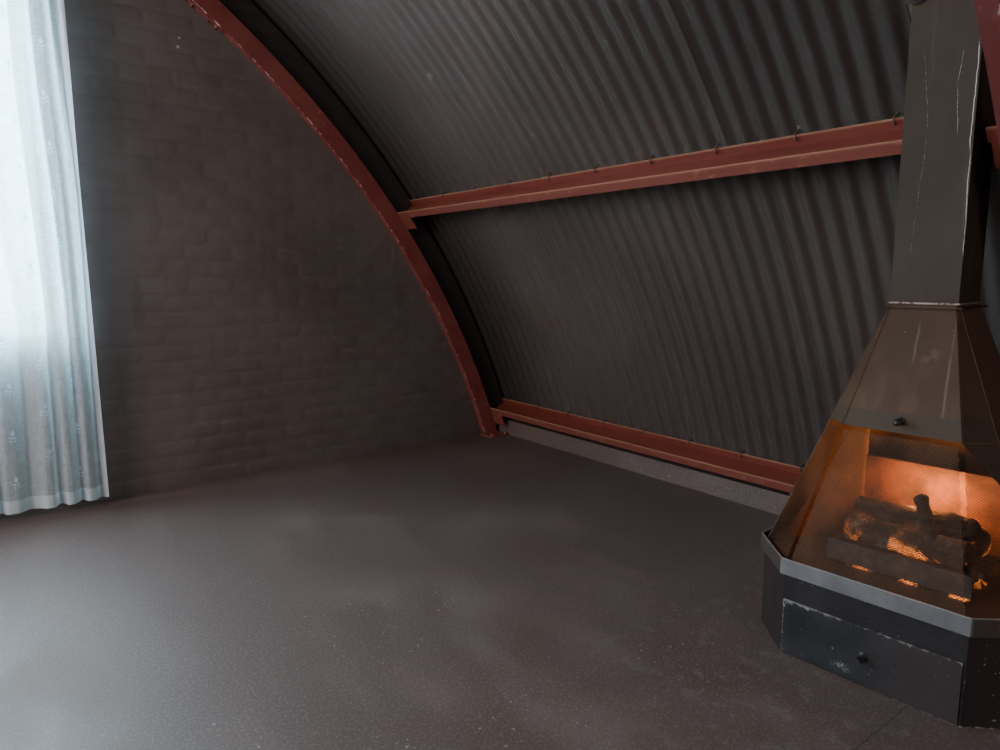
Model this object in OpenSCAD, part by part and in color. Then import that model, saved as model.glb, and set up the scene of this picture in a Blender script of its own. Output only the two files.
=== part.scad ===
// End section of a vaulted corrugated-iron hut: two bays of arched steel ribs, purlins and curved
// sheets, a brick end wall with two windows, a concrete floor, and the built-in fireplace with its flue.
// X runs across the hut, +Y points out through the end wall, and Z is up from the ground.

/* [Vault] */
// Inside radius of the curved sheets
arch_r = 5070; // [4600:10:5400]
// Height of the floor above the centre of the arch
floor_up = 1470; // [1200:10:1600]
// Distance from one rib to the next
rib_pitch = 3145; // [2900:5:3400]
// How far the sheets run past the front rib
front_lap = 30; // [10:5:80]
// How far the sheets run past the end wall
verge = 40; // [10:5:100]

/* [Ribs] */
// Depth of the rib channel, measured along the radius
rib_d = 95; // [70:1:120]
// Width of the rib channel, measured along the hut
rib_b = 45; // [35:1:70]
// Thickness of the rib's web and flanges
rib_t = 7; // [4:0.5:10]
// Angle above the horizontal at which the rib's leg is spliced to its crown
splice_angle = 52.6; // [48:0.1:53]
// Length of a splice plate along the rib
splice_l = 240; // [120:10:400]
// How far a splice plate stays back from the flange's edges
splice_edge = 3; // [1:0.5:8]
// Side of a rib's square foot plate
foot_w = 150; // [120:5:150]
// Thickness of the foot plates, splice plates and purlin cleats
plate_t = 8; // [5:0.5:12]

/* [Purlins] */
// Depth of the purlin channel, measured along the radius
purlin_d = 145; // [120:1:170]
// Width of the purlin's flanges
purlin_b = 41; // [35:1:60]
// Thickness of the purlin's web and flanges
purlin_t = 6; // [4:0.5:9]
// Angle of the low rail above the horizontal
low_rail_angle = 19.1; // [18.6:0.1:22]
// Angle of the middle purlin above the horizontal
mid_purlin_angle = 35.8; // [34:0.1:36.2]
// Leg of the angle cleat that ties a purlin to a rib
cleat_w = 75; // [50:5:90]
// Length of the angle cleat
cleat_l = 150; // [110:5:200]

/* [Sheets] */
// Pitch of the corrugations
corr_pitch = 76.2; // [60:0.1:100]
// Depth of the corrugations
corr_d = 18; // [12:1:25]
// Thickness of the sheet
sheet_t = 1.2; // [0.8:0.1:2]

/* [Floor and end wall] */
// Thickness of the floor slab
slab_t = 100; // [80:5:200]
// How far the slab's long edges stand out from the sheets
slab_ledge = 30; // [10:5:80]
// Height of the kerb under the low rails
kerb_h = 100; // [60:5:110]
// Width of the kerb
kerb_w = 95; // [60:5:100]
// Thickness of the brick end wall
wall_t = 220; // [110:5:330]

/* [Windows] */
// Distance from the middle of the wall to the near side of each window
window_x = 680; // [400:10:900]
// Width of a window opening
window_w = 1500; // [900:10:1550]
// Height of the window sill above the floor
sill_h = 820; // [600:10:1100]
// Height of the vault's crown above the heads of the windows
head_drop = 1180; // [1140:10:1700]
// Depth of the window frame from the wall's inner face
frame_set = 60; // [30:5:90]
// Width of a window frame member
frame_w = 32; // [20:1:50]
// Depth of a window frame
frame_d = 36; // [24:1:60]
// Height of the opening light above the transom
top_light_h = 300; // [200:5:400]
// Thickness of the glass
glass_t = 4; // [3:0.5:8]

/* [Curtains] */
// Distance of the curtain rail from the wall
rail_out = 100; // [80:5:150]
// Diameter of the curtain rail
rail_dia = 16; // [10:1:25]
// Height of the curtain rail above the window head
rail_up = 80; // [40:5:120]
// How far a curtain reaches past each side of its window
curtain_lap = 165; // [60:5:200]
// Depth of a curtain's folds
curtain_d = 50; // [30:5:70]
// Gap between the curtain and the floor
curtain_gap = 40; // [10:5:200]

/* [Fireplace] */
// Distance of the flue's centre from the foot of the vault's sheets
fire_in = 850; // [812:1:1002]
// Distance of the flue's centre from the end wall
fire_y = 2990; // [1200:5:3000]
// Turn of the fireplace from the hut's own direction
fire_turn = 3.4; // [0:0.1:5]
// Width of the plinth along the hut
plinth_w = 722; // [600:2:760]
// Depth of the plinth
plinth_d = 600; // [500:2:620]
// Length of the plinth's chamfered corners along each side
plinth_c = 131; // [90:1:160]
// Height of the plinth
plinth_h = 240; // [200:1:300]
// Thickness of the plinth's plates
plinth_t = 4; // [3:0.5:6]
// How far the hearth rim stands out from the plinth
rim_out = 11; // [4:1:20]
// Height of the hearth rim
rim_h = 47; // [30:1:60]
// Thickness of the hearth rim and plate
rim_t = 4; // [3:0.5:6]
// Height of the mesh screen above the rim
screen_h = 383; // [300:1:450]
// Height of the hood from the hearth rim to the flue
hood_h = 718; // [600:1:800]
// Thickness of the hood's plates
hood_t = 3; // [2:0.5:5]
// Outside width of the square flue
flue_w = 165; // [140:1:180]
// Thickness of the flue's plates
flue_t = 2; // [1.5:0.5:4]
// Height of the flue's top above the floor
flue_top = 3950; // [3000:10:4400]
// Gap all round the flue where it passes a sheet or purlin
flue_gap = 8; // [5:1:20]
// Height of the cowl's cap above the flue
cowl_h = 110; // [80:5:200]

/* [Ash drawer] */
// Width of the drawer's front
drawer_w = 448; // [300:1:454]
// Height of the drawer's front
drawer_h = 160; // [120:1:180]
// Thickness of the drawer's front
drawer_t = 5; // [3:0.5:8]
// Depth of the ash tray behind the front
tray_l = 400; // [250:5:450]
// Width of the ash tray
tray_w = 420; // [250:5:430]
// Height of the ash tray
tray_h = 90; // [50:5:120]
// Thickness of the ash tray's plates
tray_t = 2; // [1.5:0.5:3]
// Clearance round the ash tray in the plinth's opening
drawer_gap = 5; // [5:0.5:8]
// Diameter of the knobs' stems
knob_dia = 10; // [6:1:14]
// Length of the knobs
knob_out = 34; // [20:1:50]

/* [Fire] */
// Thickness of the cast liner behind the fire
liner_t = 12; // [8:1:20]
// Height of the liner
liner_h = 275; // [200:5:360]
// Width of the liner
liner_w = 400; // [300:5:410]
// Depth of the liner
liner_d = 270; // [200:5:290]
// Width of the grate
grate_w = 370; // [200:5:380]
// Depth of the grate
grate_d = 240; // [150:5:250]
// Height of the grate's bars above the hearth
grate_h = 60; // [40:5:90]
// Width of a grate bar
bar_w = 12; // [8:1:16]
// Number of grate bars
bar_count = 7; // [5:1:8]
// Diameter of a log
log_dia = 78; // [50:1:90]
// Length of a log
log_l = 330; // [200:5:350]

/* [Flashing and cowl] */
// Width of the flashing plate round the flue
flashing_w = 520; // [400:10:700]
// Thickness of the flashing plate, its collar and the cowl's legs
flashing_t = 2; // [1:0.5:4]
// Height of the flashing's collar
collar_h = 150; // [80:5:300]
// Width of the cowl's cap
cap_w = 280; // [240:5:400]
// Width of the cowl's legs
leg_w = 25; // [15:1:40]

/* [Hidden] */

// Points along each corrugation
corr_steps = 4;
// Pieces that rest on each other lie this far apart
seat = 0.3;
// Room round pieces that are fitted into an opening
fit = 1;
// A cut reaches this far past the piece that it cuts
past = 10;
arc_fn = 240;

rib_out = arch_r - purlin_d - 3 * seat;
rib_in = rib_out - rib_d;
centre_z = slab_t - floor_up;
floor_angle = asin((floor_up + seat) / arch_r);
purlin_step = (90 - mid_purlin_angle) / 3;
upper_purlin_angle = mid_purlin_angle + purlin_step;
high_purlin_angle = upper_purlin_angle + purlin_step;

hut_l = front_lap + rib_b + 2 * rib_pitch + wall_t + verge;
front_y = -hut_l / 2;
wall_y = hut_l / 2 - verge - wall_t;
foot_z = slab_t + seat;
rib_ys = [for (i = [0:2]) wall_y - seat - rib_b - i * rib_pitch];
sheet_out = arch_r + corr_d + sheet_t;
corr_count = ceil(hut_l / corr_pitch);
half_w = sqrt(sheet_out * sheet_out - floor_up * floor_up) + slab_ledge;

window_top = arch_r - floor_up - head_drop;
opening_mid = window_x + window_w / 2;
frame_y = wall_y + frame_set;
bar_d = frame_d / 2 - glass_t / 2 - seat;
rail_z = slab_t + window_top + rail_up;
curtain_w = window_w + 2 * curtain_lap;

rim_z = plinth_h + rim_h;
rim_w = plinth_w + 2 * rim_out;
rim_l = plinth_d + 2 * rim_out;
rim_c = plinth_c + rim_out * (2 - sqrt(2));
screen_w = rim_w - 2 * rim_t - 2 * fit;
screen_l = rim_l - 2 * rim_t - 2 * fit;
flue_z = rim_z + hood_h;
hearth_z = plinth_h + rim_t + 2 * seat;
screen_c = inner_c(rim_c, rim_t + fit);
screen_top = rim_z + screen_h;
flue_y = wall_y - fire_y;
flue_room = flue_w / 2 * (cos(fire_turn) + sin(fire_turn)) + flue_gap;
fire_x = sqrt(arch_r * arch_r - floor_up * floor_up) - fire_in;
flue_angle = acos(fire_x / sheet_out);
collar_top = sqrt(sheet_out * sheet_out - pow(fire_x - flue_w / 2, 2)) - floor_up + collar_h;
tray_z = seat + plinth_t + seat;
liner_x = fit - screen_l / 2 + screen_c + liner_d / 8;

// A point on the arch's own frame: x outwards along the radius, y along the hut, z uphill
module at_angle(a) {
    translate([0, 0, centre_z]) rotate([0, -a, 0]) children();
}

// Part of a ring about the arch's axis, with a profile given as [radius, distance forwards]
module ring(a0, a1) {
    translate([0, 0, centre_z]) rotate([90, 0, 0]) rotate([0, 0, a0])
        rotate_extrude(angle = a1 - a0, $fn = arc_fn) children();
}

module box(low, high) {
    translate(low) cube(high - low);
}

// Floor and end wall

module kerb() {
    kerb_x = sqrt(arch_r * arch_r - pow(floor_up + kerb_h, 2)) - fit - kerb_w;
    box([kerb_x, front_y, slab_t - past], [kerb_x + kerb_w, wall_y, slab_t + kerb_h]);
}

module floor_slab() {
    color("#4a4340") {
        box([-half_w, front_y, 0], [half_w, wall_y + wall_t, slab_t]);
        kerb();
        mirror([1, 0, 0]) kerb();
    }
}

// The end wall between two heights above the floor, cut to the arch
module wall_part(x0, x1, z0, z1) {
    wall_r = arch_r - seat;
    foot_angle = asin((floor_up + z0) / wall_r);
    color("#3f3330") intersection() {
        box([x0, wall_y, slab_t + z0], [x1, wall_y + wall_t, slab_t + z1]);
        ring(foot_angle, 180 - foot_angle)
            translate([0, -wall_y - wall_t - past]) square([wall_r, wall_t + 2 * past]);
    }
}

module wall_base() { wall_part(-half_w, half_w, 0, sill_h); }
module wall_pier_centre() { wall_part(-window_x, window_x, sill_h, window_top); }
module wall_pier_right() { wall_part(window_x + window_w, half_w, sill_h, window_top); }
module wall_pier_left() { mirror([1, 0, 0]) wall_pier_right(); }
module wall_gable() { wall_part(-half_w, half_w, window_top, arch_r - floor_up + past); }

// Windows

module window_frame() {
    low = [window_x + seat, frame_y, slab_t + sill_h + seat];
    high = [window_x + window_w - seat, frame_y + frame_d, slab_t + window_top - seat];
    inset = [frame_w, 0, frame_w];
    transom_z = slab_t + window_top - top_light_h;
    light_w = (window_w - 2 * seat - 4 * frame_w) / 3;
    color("#d9d6cc") {
        difference() {
            box(low, high);
            box(low + inset - [0, past, 0], high - inset + [0, past, 0]);
        }
        box([low[0], frame_y, transom_z - frame_w], [high[0], frame_y + bar_d, transom_z]);
        for (i = [1:2])
            translate([low[0] + i * (light_w + frame_w), frame_y, low[2]])
                cube([frame_w, bar_d, high[2] - low[2]]);
    }
}

module window_frame_right() { window_frame(); }
module window_frame_left() { mirror([1, 0, 0]) window_frame(); }

module window_pane() {
    side = frame_w + 2 * seat;
    glass_y = frame_y + bar_d + seat;
    color("#cfe3ea", 0.35)
        box([window_x + side, glass_y, slab_t + sill_h + side],
            [window_x + window_w - side, glass_y + glass_t, slab_t + window_top - side]);
}

module window_glass() {
    window_pane();
    mirror([1, 0, 0]) window_pane();
}

// Curtains

module curtain_rail() {
    reach = curtain_w / 2 + 2 * rail_dia;
    color("#b9b2a6") {
        translate([opening_mid - reach, wall_y - rail_out, rail_z]) rotate([0, 90, 0])
            cylinder(d = rail_dia, h = 2 * reach, $fn = 24);
        for (side = [-1, 1])
            translate([opening_mid + side * (reach - rail_dia), wall_y - seat, rail_z])
                rotate([90, 0, 0]) {
                    cylinder(d = rail_dia / 2, h = rail_out - seat, $fn = 16);
                    cylinder(d = 2 * rail_dia, h = rail_dia / 4, $fn = 24);
                }
    }
}

module curtain_rails() {
    curtain_rail();
    mirror([1, 0, 0]) curtain_rail();
}

module curtain() {
    color("#e8ecef")
        box([opening_mid - curtain_w / 2, wall_y - rail_out - curtain_d / 2, slab_t + curtain_gap],
            [opening_mid + curtain_w / 2, wall_y - rail_out + curtain_d / 2, rail_z - rail_dia / 2 - seat]);
}

module curtain_right() { curtain(); }
module curtain_left() { mirror([1, 0, 0]) curtain(); }

// Ribs

// Section of the rib channel: its web looks up the hut and its flanges point to the end wall
module rib_section(y) {
    back = -y - rib_b;
    difference() {
        translate([rib_in, back]) square([rib_d, rib_b]);
        translate([rib_in + rib_t, back - past]) square([rib_d - 2 * rib_t, rib_b + past - rib_t]);
    }
}

// A length of the rib with the splice plate that laps its upper joint
module rib_length(y, a0, a1, lap) {
    joint_gap = seat / rib_in * 90 / PI;
    lap_angle = lap / rib_in * 180 / PI;
    ring(a0 + joint_gap, a1 - joint_gap) rib_section(y);
    ring(a1 - lap_angle, a1 - joint_gap)
        translate([rib_in - plate_t, splice_edge - y - rib_b])
            square([plate_t + rib_t / 2, rib_b - 2 * splice_edge]);
}

// Half a rib: a leg on its foot plate, spliced to half of the crown
module rib_half(y, foot_y) {
    below = 3;
    foot_x = sqrt(rib_in * rib_in - floor_up * floor_up) + rib_d / 2;
    box([foot_x - foot_w / 2, foot_y, foot_z], [foot_x + foot_w / 2, foot_y + foot_w, foot_z + plate_t]);
    intersection() {
        rib_length(y, floor_angle - below, splice_angle, splice_l / 2);
        box([0, y - past, foot_z], [arch_r, y + rib_b + past, arch_r]);
    }
    mirror([1, 0, 0]) rib_length(y, 90, 180 - splice_angle, splice_l / 2);
}

module rib(y, foot_y) {
    color("#5a2420") {
        rib_half(y, foot_y);
        mirror([1, 0, 0]) rib_half(y, foot_y);
    }
}

module rib_end() { rib(rib_ys[0], rib_ys[0] + rib_b - foot_w); }
module rib_mid() { rib(rib_ys[1], rib_ys[1] + rib_b / 2 - foot_w / 2); }
module rib_front() { rib(rib_ys[2], front_y + fit); }

// Purlins

module purlin_length(y0, y1) {
    translate([rib_out + seat, y0, 0]) {
        cube([purlin_d, y1 - y0, purlin_t]);
        cube([purlin_t, y1 - y0, purlin_b]);
        translate([purlin_d - purlin_t, 0, 0]) cube([purlin_t, y1 - y0, purlin_b]);
    }
}

module cleat(y) {
    translate([rib_out + seat, y, 0]) {
        translate([0, 0, -cleat_w]) cube([plate_t, cleat_l, cleat_w]);
        translate([0, 0, -plate_t]) cube([cleat_w, cleat_l, plate_t]);
    }
}

// A purlin at an angle above the horizontal, in lengths that each run from one place to another
module purlin(a, lengths = [[front_y, wall_y - seat]]) {
    color("#7d4638") at_angle(a) {
        for (length = lengths) purlin_length(length[0], length[1]);
        cleat(wall_y - seat - cleat_l);
        cleat(rib_ys[1] + rib_b / 2 - cleat_l / 2);
        cleat(front_y + fit);
    }
}

module low_rail_right() { purlin(low_rail_angle); }
module low_rail_left() { mirror([1, 0, 0]) purlin(low_rail_angle); }
// The flue passes through the line of this purlin, which stops on either side of it
module mid_purlin_right() {
    purlin(mid_purlin_angle, [[front_y, flue_y - flue_room], [flue_y + flue_room, wall_y - seat]]);
}
module mid_purlin_left() { mirror([1, 0, 0]) purlin(mid_purlin_angle); }
module upper_purlin_right() { purlin(upper_purlin_angle); }
module upper_purlin_left() { mirror([1, 0, 0]) purlin(upper_purlin_angle); }
module high_purlin_right() { purlin(high_purlin_angle); }
module high_purlin_left() { mirror([1, 0, 0]) purlin(high_purlin_angle); }
module crown_purlin() { purlin(90); }

// Curved sheets

function wave(i) = corr_d * (i % corr_steps < corr_steps / 2 ? 0 : 1);
function wave_y(i) = min(hut_l / 2, front_y + i * corr_pitch / corr_steps);

module sheets(a0, a1) {
    end_gap = seat / arch_r * 90 / PI;
    count = corr_count * corr_steps;
    lower = [for (i = [0:count]) [arch_r + wave(i), -wave_y(i)]];
    upper = [for (i = [count:-1:0]) [arch_r + wave(i) + sheet_t, -wave_y(i)]];
    color("#3e3634") ring(a0 + end_gap, a1 - end_gap) polygon(concat(lower, upper));
}

module sheets_right_low() { sheets(floor_angle, mid_purlin_angle); }
// The flue goes out through a square hole in this course
module sheets_right_mid() {
    difference() {
        sheets(mid_purlin_angle, upper_purlin_angle);
        at_fire() flue_block(flue_w + 2 * flue_gap, flue_z, flue_top);
    }
}
module sheets_right_upper() { sheets(upper_purlin_angle, high_purlin_angle); }
module sheets_right_crown() { sheets(high_purlin_angle, 90); }
module sheets_left_low() { mirror([1, 0, 0]) sheets_right_low(); }
module sheets_left_mid() { mirror([1, 0, 0]) sheets(mid_purlin_angle, upper_purlin_angle); }
module sheets_left_upper() { mirror([1, 0, 0]) sheets_right_upper(); }
module sheets_left_crown() { mirror([1, 0, 0]) sheets_right_crown(); }

// Fireplace. Its own frame has the flue's axis at the origin, -x towards the room and z from the floor

module at_fire() {
    translate([fire_x, flue_y, slab_t]) rotate([0, 0, fire_turn]) children();
}

module octagon(l, w, c) {
    polygon([
        [-l / 2, w / 2 - c], [-l / 2, c - w / 2], [c - l / 2, -w / 2], [l / 2 - c, -w / 2],
        [l / 2, c - w / 2], [l / 2, w / 2 - c], [l / 2 - c, w / 2], [c - l / 2, w / 2]
    ]);
}

// Chamfer of an octagon that lies a given distance inside another one
function inner_c(c, inset) = c - inset * (2 - sqrt(2));

module octagon_shell(l, w, c, t, z0, z1, floor_t) {
    difference() {
        translate([0, 0, z0]) linear_extrude(z1 - z0) octagon(l, w, c);
        translate([0, 0, z0 + floor_t]) linear_extrude(z1 - z0)
            octagon(l - 2 * t, w - 2 * t, inner_c(c, t));
    }
}

module flue_block(w, z0, z1) {
    translate([-w / 2, -w / 2, z0]) cube([w, w, z1 - z0]);
}

module plinth() {
    color("#262a30") at_fire() difference() {
        octagon_shell(plinth_d, plinth_w, plinth_c, plinth_t, seat, plinth_h, plinth_t);
        box([-plinth_d / 2 - past, -tray_w / 2 - drawer_gap, tray_z - seat],
            [-plinth_d / 2 + 2 * plinth_t, tray_w / 2 + drawer_gap, tray_z + tray_h + drawer_gap]);
    }
}

module ash_drawer() {
    face_x = -plinth_d / 2 - seat;
    color("#23262c") at_fire() {
        box([face_x - drawer_t, -drawer_w / 2, tray_z], [face_x, drawer_w / 2, tray_z + drawer_h]);
        difference() {
            box([face_x, -tray_w / 2, tray_z], [face_x + tray_l, tray_w / 2, tray_z + tray_h]);
            box([face_x, tray_t - tray_w / 2, tray_z + tray_t],
                [face_x + tray_l - tray_t, tray_w / 2 - tray_t, tray_z + tray_h + past]);
        }
        translate([face_x - drawer_t, 0, tray_z + drawer_h / 2]) rotate([0, -90, 0]) {
            cylinder(d = knob_dia, h = knob_out, $fn = 24);
            translate([0, 0, knob_out - knob_dia / 2]) cylinder(d = 1.8 * knob_dia, h = knob_dia, $fn = 24);
        }
    }
}

module hearth_tray() {
    color("#8d949a") at_fire()
        octagon_shell(rim_l, rim_w, rim_c, rim_t, plinth_h + seat, rim_z, rim_t);
}

// Sides of the hood, which close in from the hearth to the flue
function hood_at(z, low, high) = low + (high - low) * (z - hearth_z) / (flue_z - hearth_z);
function hood_ring(z, inset) =
    let (l = hood_at(z, screen_l, flue_w) / 2 - inset, w = hood_at(z, screen_w, flue_w) / 2 - inset,
         c = inner_c(hood_at(z, screen_c, 2 * hood_t), inset))
    [[-l, w - c, z], [-l, c - w, z], [c - l, -w, z], [l - c, -w, z],
     [l, c - w, z], [l, w - c, z], [l - c, w, z], [c - l, w, z]];

module hood_form(z0, z1, inset) {
    sides = [for (i = [0:7]) [i, i + 8, (i + 1) % 8 + 8, (i + 1) % 8]];
    polyhedron(concat(hood_ring(z0, inset), hood_ring(z1, inset)),
        concat(sides, [[0, 1, 2, 3, 4, 5, 6, 7], [15, 14, 13, 12, 11, 10, 9, 8]]));
}

module hood_shell(z0, z1, t) {
    difference() {
        hood_form(z0, z1, 0);
        hood_form(z0 - past, z1 + past, t);
    }
}

// The space in front of the slanting line where the hood's chamfered corners end
module screen_space(z0, z1, gap) {
    x = [for (z = [z0, z1]) hood_at(z, screen_c - screen_l / 2, 2 * hood_t - flue_w / 2) - gap];
    far = screen_w;
    points = [for (i = [0, 1]) for (p = [[-far, -far], [x[i], -far], [x[i], far], [-far, far]])
        [p[0], p[1], i == 0 ? z0 : z1]];
    polyhedron(points, [[0, 1, 2, 3], [4, 7, 6, 5], [0, 4, 5, 1], [1, 5, 6, 2], [2, 6, 7, 3], [3, 7, 4, 0]]);
}

module hood() {
    knob_z = screen_top + 3 * knob_dia;
    color("#4b3d33") at_fire() {
        difference() {
            hood_shell(hearth_z, flue_z, hood_t);
            screen_space(hearth_z - past, screen_top, 0);
        }
        translate([hood_at(knob_z, -screen_l / 2, -flue_w / 2) + hood_t / 2, 0, knob_z])
            rotate([0, -90, 0]) cylinder(d = knob_dia, h = knob_out, $fn = 24);
    }
}

module fire_screen() {
    color("#a8764c") at_fire() intersection() {
        hood_shell(hearth_z, screen_top - seat, hood_t / 2);
        screen_space(hearth_z, screen_top - seat, seat);
    }
}

// A low back plate, and on each side of it a plate set at 45 degrees that fits under the hood
module fire_back() {
    back_x = liner_x + liner_d;
    z0 = hearth_z + seat;
    color("#7a4630") at_fire() {
        box([back_x - liner_t, -liner_w / 2, z0], [back_x, liner_w / 2, hearth_z + liner_h]);
        intersection() {
            hood_form(z0, screen_top, hood_t + seat);
            for (side = [0, 1]) mirror([0, side, 0])
                translate([back_x, liner_w / 2, 0])
                rotate([0, 0, 135])
                box([0, 0, z0], [liner_d, liner_t, screen_top]);
        }
    }
}

module fire_grate() {
    x0 = liner_x + 2 * fit;
    top = hearth_z + grate_h;
    color("#2a2522") at_fire() {
        for (side = [-1, 1])
            box([x0, side * grate_w / 3 - bar_w / 2, hearth_z + seat],
                [x0 + grate_d, side * grate_w / 3 + bar_w / 2, top - bar_w / 2]);
        for (i = [0:bar_count - 1])
            translate([x0 + i * (grate_d - bar_w) / (bar_count - 1), -grate_w / 2, top - bar_w])
                cube([bar_w, grate_w, bar_w]);
        box([x0, -grate_w / 2, hearth_z + bar_w], [x0 + bar_w / 2, grate_w / 2, top + bar_w]);
    }
}

module log(x, z) {
    translate([x, log_l / 2, z]) rotate([90, 0, 0]) cylinder(d = log_dia, h = log_l, $fn = 32);
}

// Two logs lie side by side on the grate and a third rests on both
module fire_logs() {
    apart = 0.8 * log_dia;
    stack = sqrt(pow(log_dia + seat, 2) - apart * apart);
    color("#3a2a22") at_fire() translate([liner_x + grate_d / 2 + bar_w, 0, hearth_z + grate_h + seat + log_dia / 2]) {
        log(-apart, 0);
        log(apart, 0);
        log(0, stack);
    }
}

module flue() {
    color("#3f352e") at_fire() difference() {
        flue_block(flue_w, flue_z + seat, flue_top);
        flue_block(flue_w - 2 * flue_t, flue_z - past, flue_top + past);
    }
}

module flue_flashing() {
    half_angle = flashing_w / 2 / sheet_out * 180 / PI;
    flashing_r = sheet_out + seat;
    color("#55504c") {
        difference() {
            ring(flue_angle - half_angle, flue_angle + half_angle)
                translate([flashing_r, -flue_y - flashing_w / 2]) square([flashing_t, flashing_w]);
            at_fire() flue_block(flue_w + 2 * fit, flue_z, flue_top);
        }
        difference() {
            at_fire() flue_block(flue_w + 2 * fit + 2 * flashing_t, flue_z, collar_top);
            at_fire() flue_block(flue_w + 2 * fit, flue_z - past, flue_top);
            translate([0, flue_y - flashing_w, centre_z]) rotate([-90, 0, 0])
                cylinder(r = flashing_r + flashing_t / 2, h = 2 * flashing_w, $fn = arc_fn);
        }
    }
}

module flue_cowl() {
    cap_z = flue_top + cowl_h;
    leg_x = flue_w / 2 + seat;
    color("#4a443f") at_fire() {
        for (a = [0:90:270]) rotate([0, 0, a])
            box([leg_x, -leg_w / 2, flue_top - cowl_h / 2], [leg_x + flashing_t, leg_w / 2, cap_z + flashing_t / 2]);
        translate([0, 0, cap_z]) rotate([0, 0, 45])
            cylinder(d1 = cap_w * sqrt(2), d2 = flue_w / 3, h = cowl_h / 2, $fn = 4);
    }
}

floor_slab();
wall_base();
wall_pier_left();
wall_pier_centre();
wall_pier_right();
wall_gable();
window_frame_left();
window_frame_right();
window_glass();
curtain_rails();
curtain_left();
curtain_right();
rib_end();
rib_mid();
rib_front();
low_rail_left();
low_rail_right();
mid_purlin_left();
mid_purlin_right();
upper_purlin_left();
upper_purlin_right();
high_purlin_left();
high_purlin_right();
crown_purlin();
sheets_left_low();
sheets_left_mid();
sheets_left_upper();
sheets_left_crown();
sheets_right_low();
sheets_right_mid();
sheets_right_upper();
sheets_right_crown();
plinth();
ash_drawer();
hearth_tray();
hood();
fire_screen();
fire_back();
fire_grate();
fire_logs();
flue();
flue_flashing();
flue_cowl();
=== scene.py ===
from math import acos, cos, degrees, pi, radians, sin, sqrt

import bpy
import numpy as np
from mathutils import Matrix, Vector


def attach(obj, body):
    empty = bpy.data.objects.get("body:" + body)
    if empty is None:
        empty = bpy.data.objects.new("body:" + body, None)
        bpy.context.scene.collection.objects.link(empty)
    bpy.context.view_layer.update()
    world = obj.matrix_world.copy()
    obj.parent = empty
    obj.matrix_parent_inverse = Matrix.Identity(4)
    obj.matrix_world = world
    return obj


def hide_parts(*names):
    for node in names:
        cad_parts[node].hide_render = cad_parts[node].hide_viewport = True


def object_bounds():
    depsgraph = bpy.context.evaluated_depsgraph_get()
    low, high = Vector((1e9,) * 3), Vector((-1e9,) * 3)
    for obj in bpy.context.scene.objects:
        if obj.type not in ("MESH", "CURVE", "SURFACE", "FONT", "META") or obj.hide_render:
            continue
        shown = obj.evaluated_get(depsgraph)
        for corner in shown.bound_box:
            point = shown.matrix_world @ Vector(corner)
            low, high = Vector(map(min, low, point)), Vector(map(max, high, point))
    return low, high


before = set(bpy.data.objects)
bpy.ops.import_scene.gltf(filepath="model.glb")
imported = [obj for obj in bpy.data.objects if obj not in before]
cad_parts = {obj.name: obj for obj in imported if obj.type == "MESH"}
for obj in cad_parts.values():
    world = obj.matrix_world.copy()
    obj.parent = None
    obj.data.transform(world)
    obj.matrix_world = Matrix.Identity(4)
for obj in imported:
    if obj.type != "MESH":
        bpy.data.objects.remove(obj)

cad_box = [list(corner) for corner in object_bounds()]
hut_front, hut_back = cad_box[0][1], cad_box[1][1]


# Floor: a concrete slab cast between the feet of the vault, with a kerb along each side under the low rails.
# It was floated by hand, sealed dark and walked on for years, so the sealer has worn off the high places.
# One day joint crosses it beside the fireplace.
class Tone:
    """A value or colour of a finish. An operator on it adds one Math node, so a mask is written as a sum."""

    def __init__(self, finish, socket):
        self.finish, self.socket = finish, socket

    def maths(self, operation, *values):
        return self.finish.node("Math", dict(enumerate(values)), operation=operation)

    def __add__(self, other):
        return self.maths("ADD", self, other)

    def __sub__(self, other):
        return self.maths("SUBTRACT", self, other)

    def __rsub__(self, other):
        return self.maths("SUBTRACT", other, self)

    def __mul__(self, other):
        return self.maths("MULTIPLY", self, other)

    def __truediv__(self, other):
        return self.maths("DIVIDE", self, other)

    def __pow__(self, other):
        return self.maths("POWER", self, other)

    def __mod__(self, other):
        return self.maths("FLOORED_MODULO", self, other)

    def __abs__(self):
        return self.maths("ABSOLUTE", self)

    __radd__ = __add__
    __rmul__ = __mul__

    def step(self, low, high):
        """0 up to low and 1 from high on, with a smooth rise between; it falls where low is above high."""
        return self.finish.node("MapRange", {0: self, 1: low, 2: high}, interpolation_type="SMOOTHSTEP")

    def near(self, place, reach):
        """1 where the value is at the place, and 0 from reach away."""
        return abs(self - place).step(reach, 0)

    def under(self, colour, share):
        """This colour with another laid over it, as far as the share goes."""
        return self.finish.mix(self, colour, share)


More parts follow.
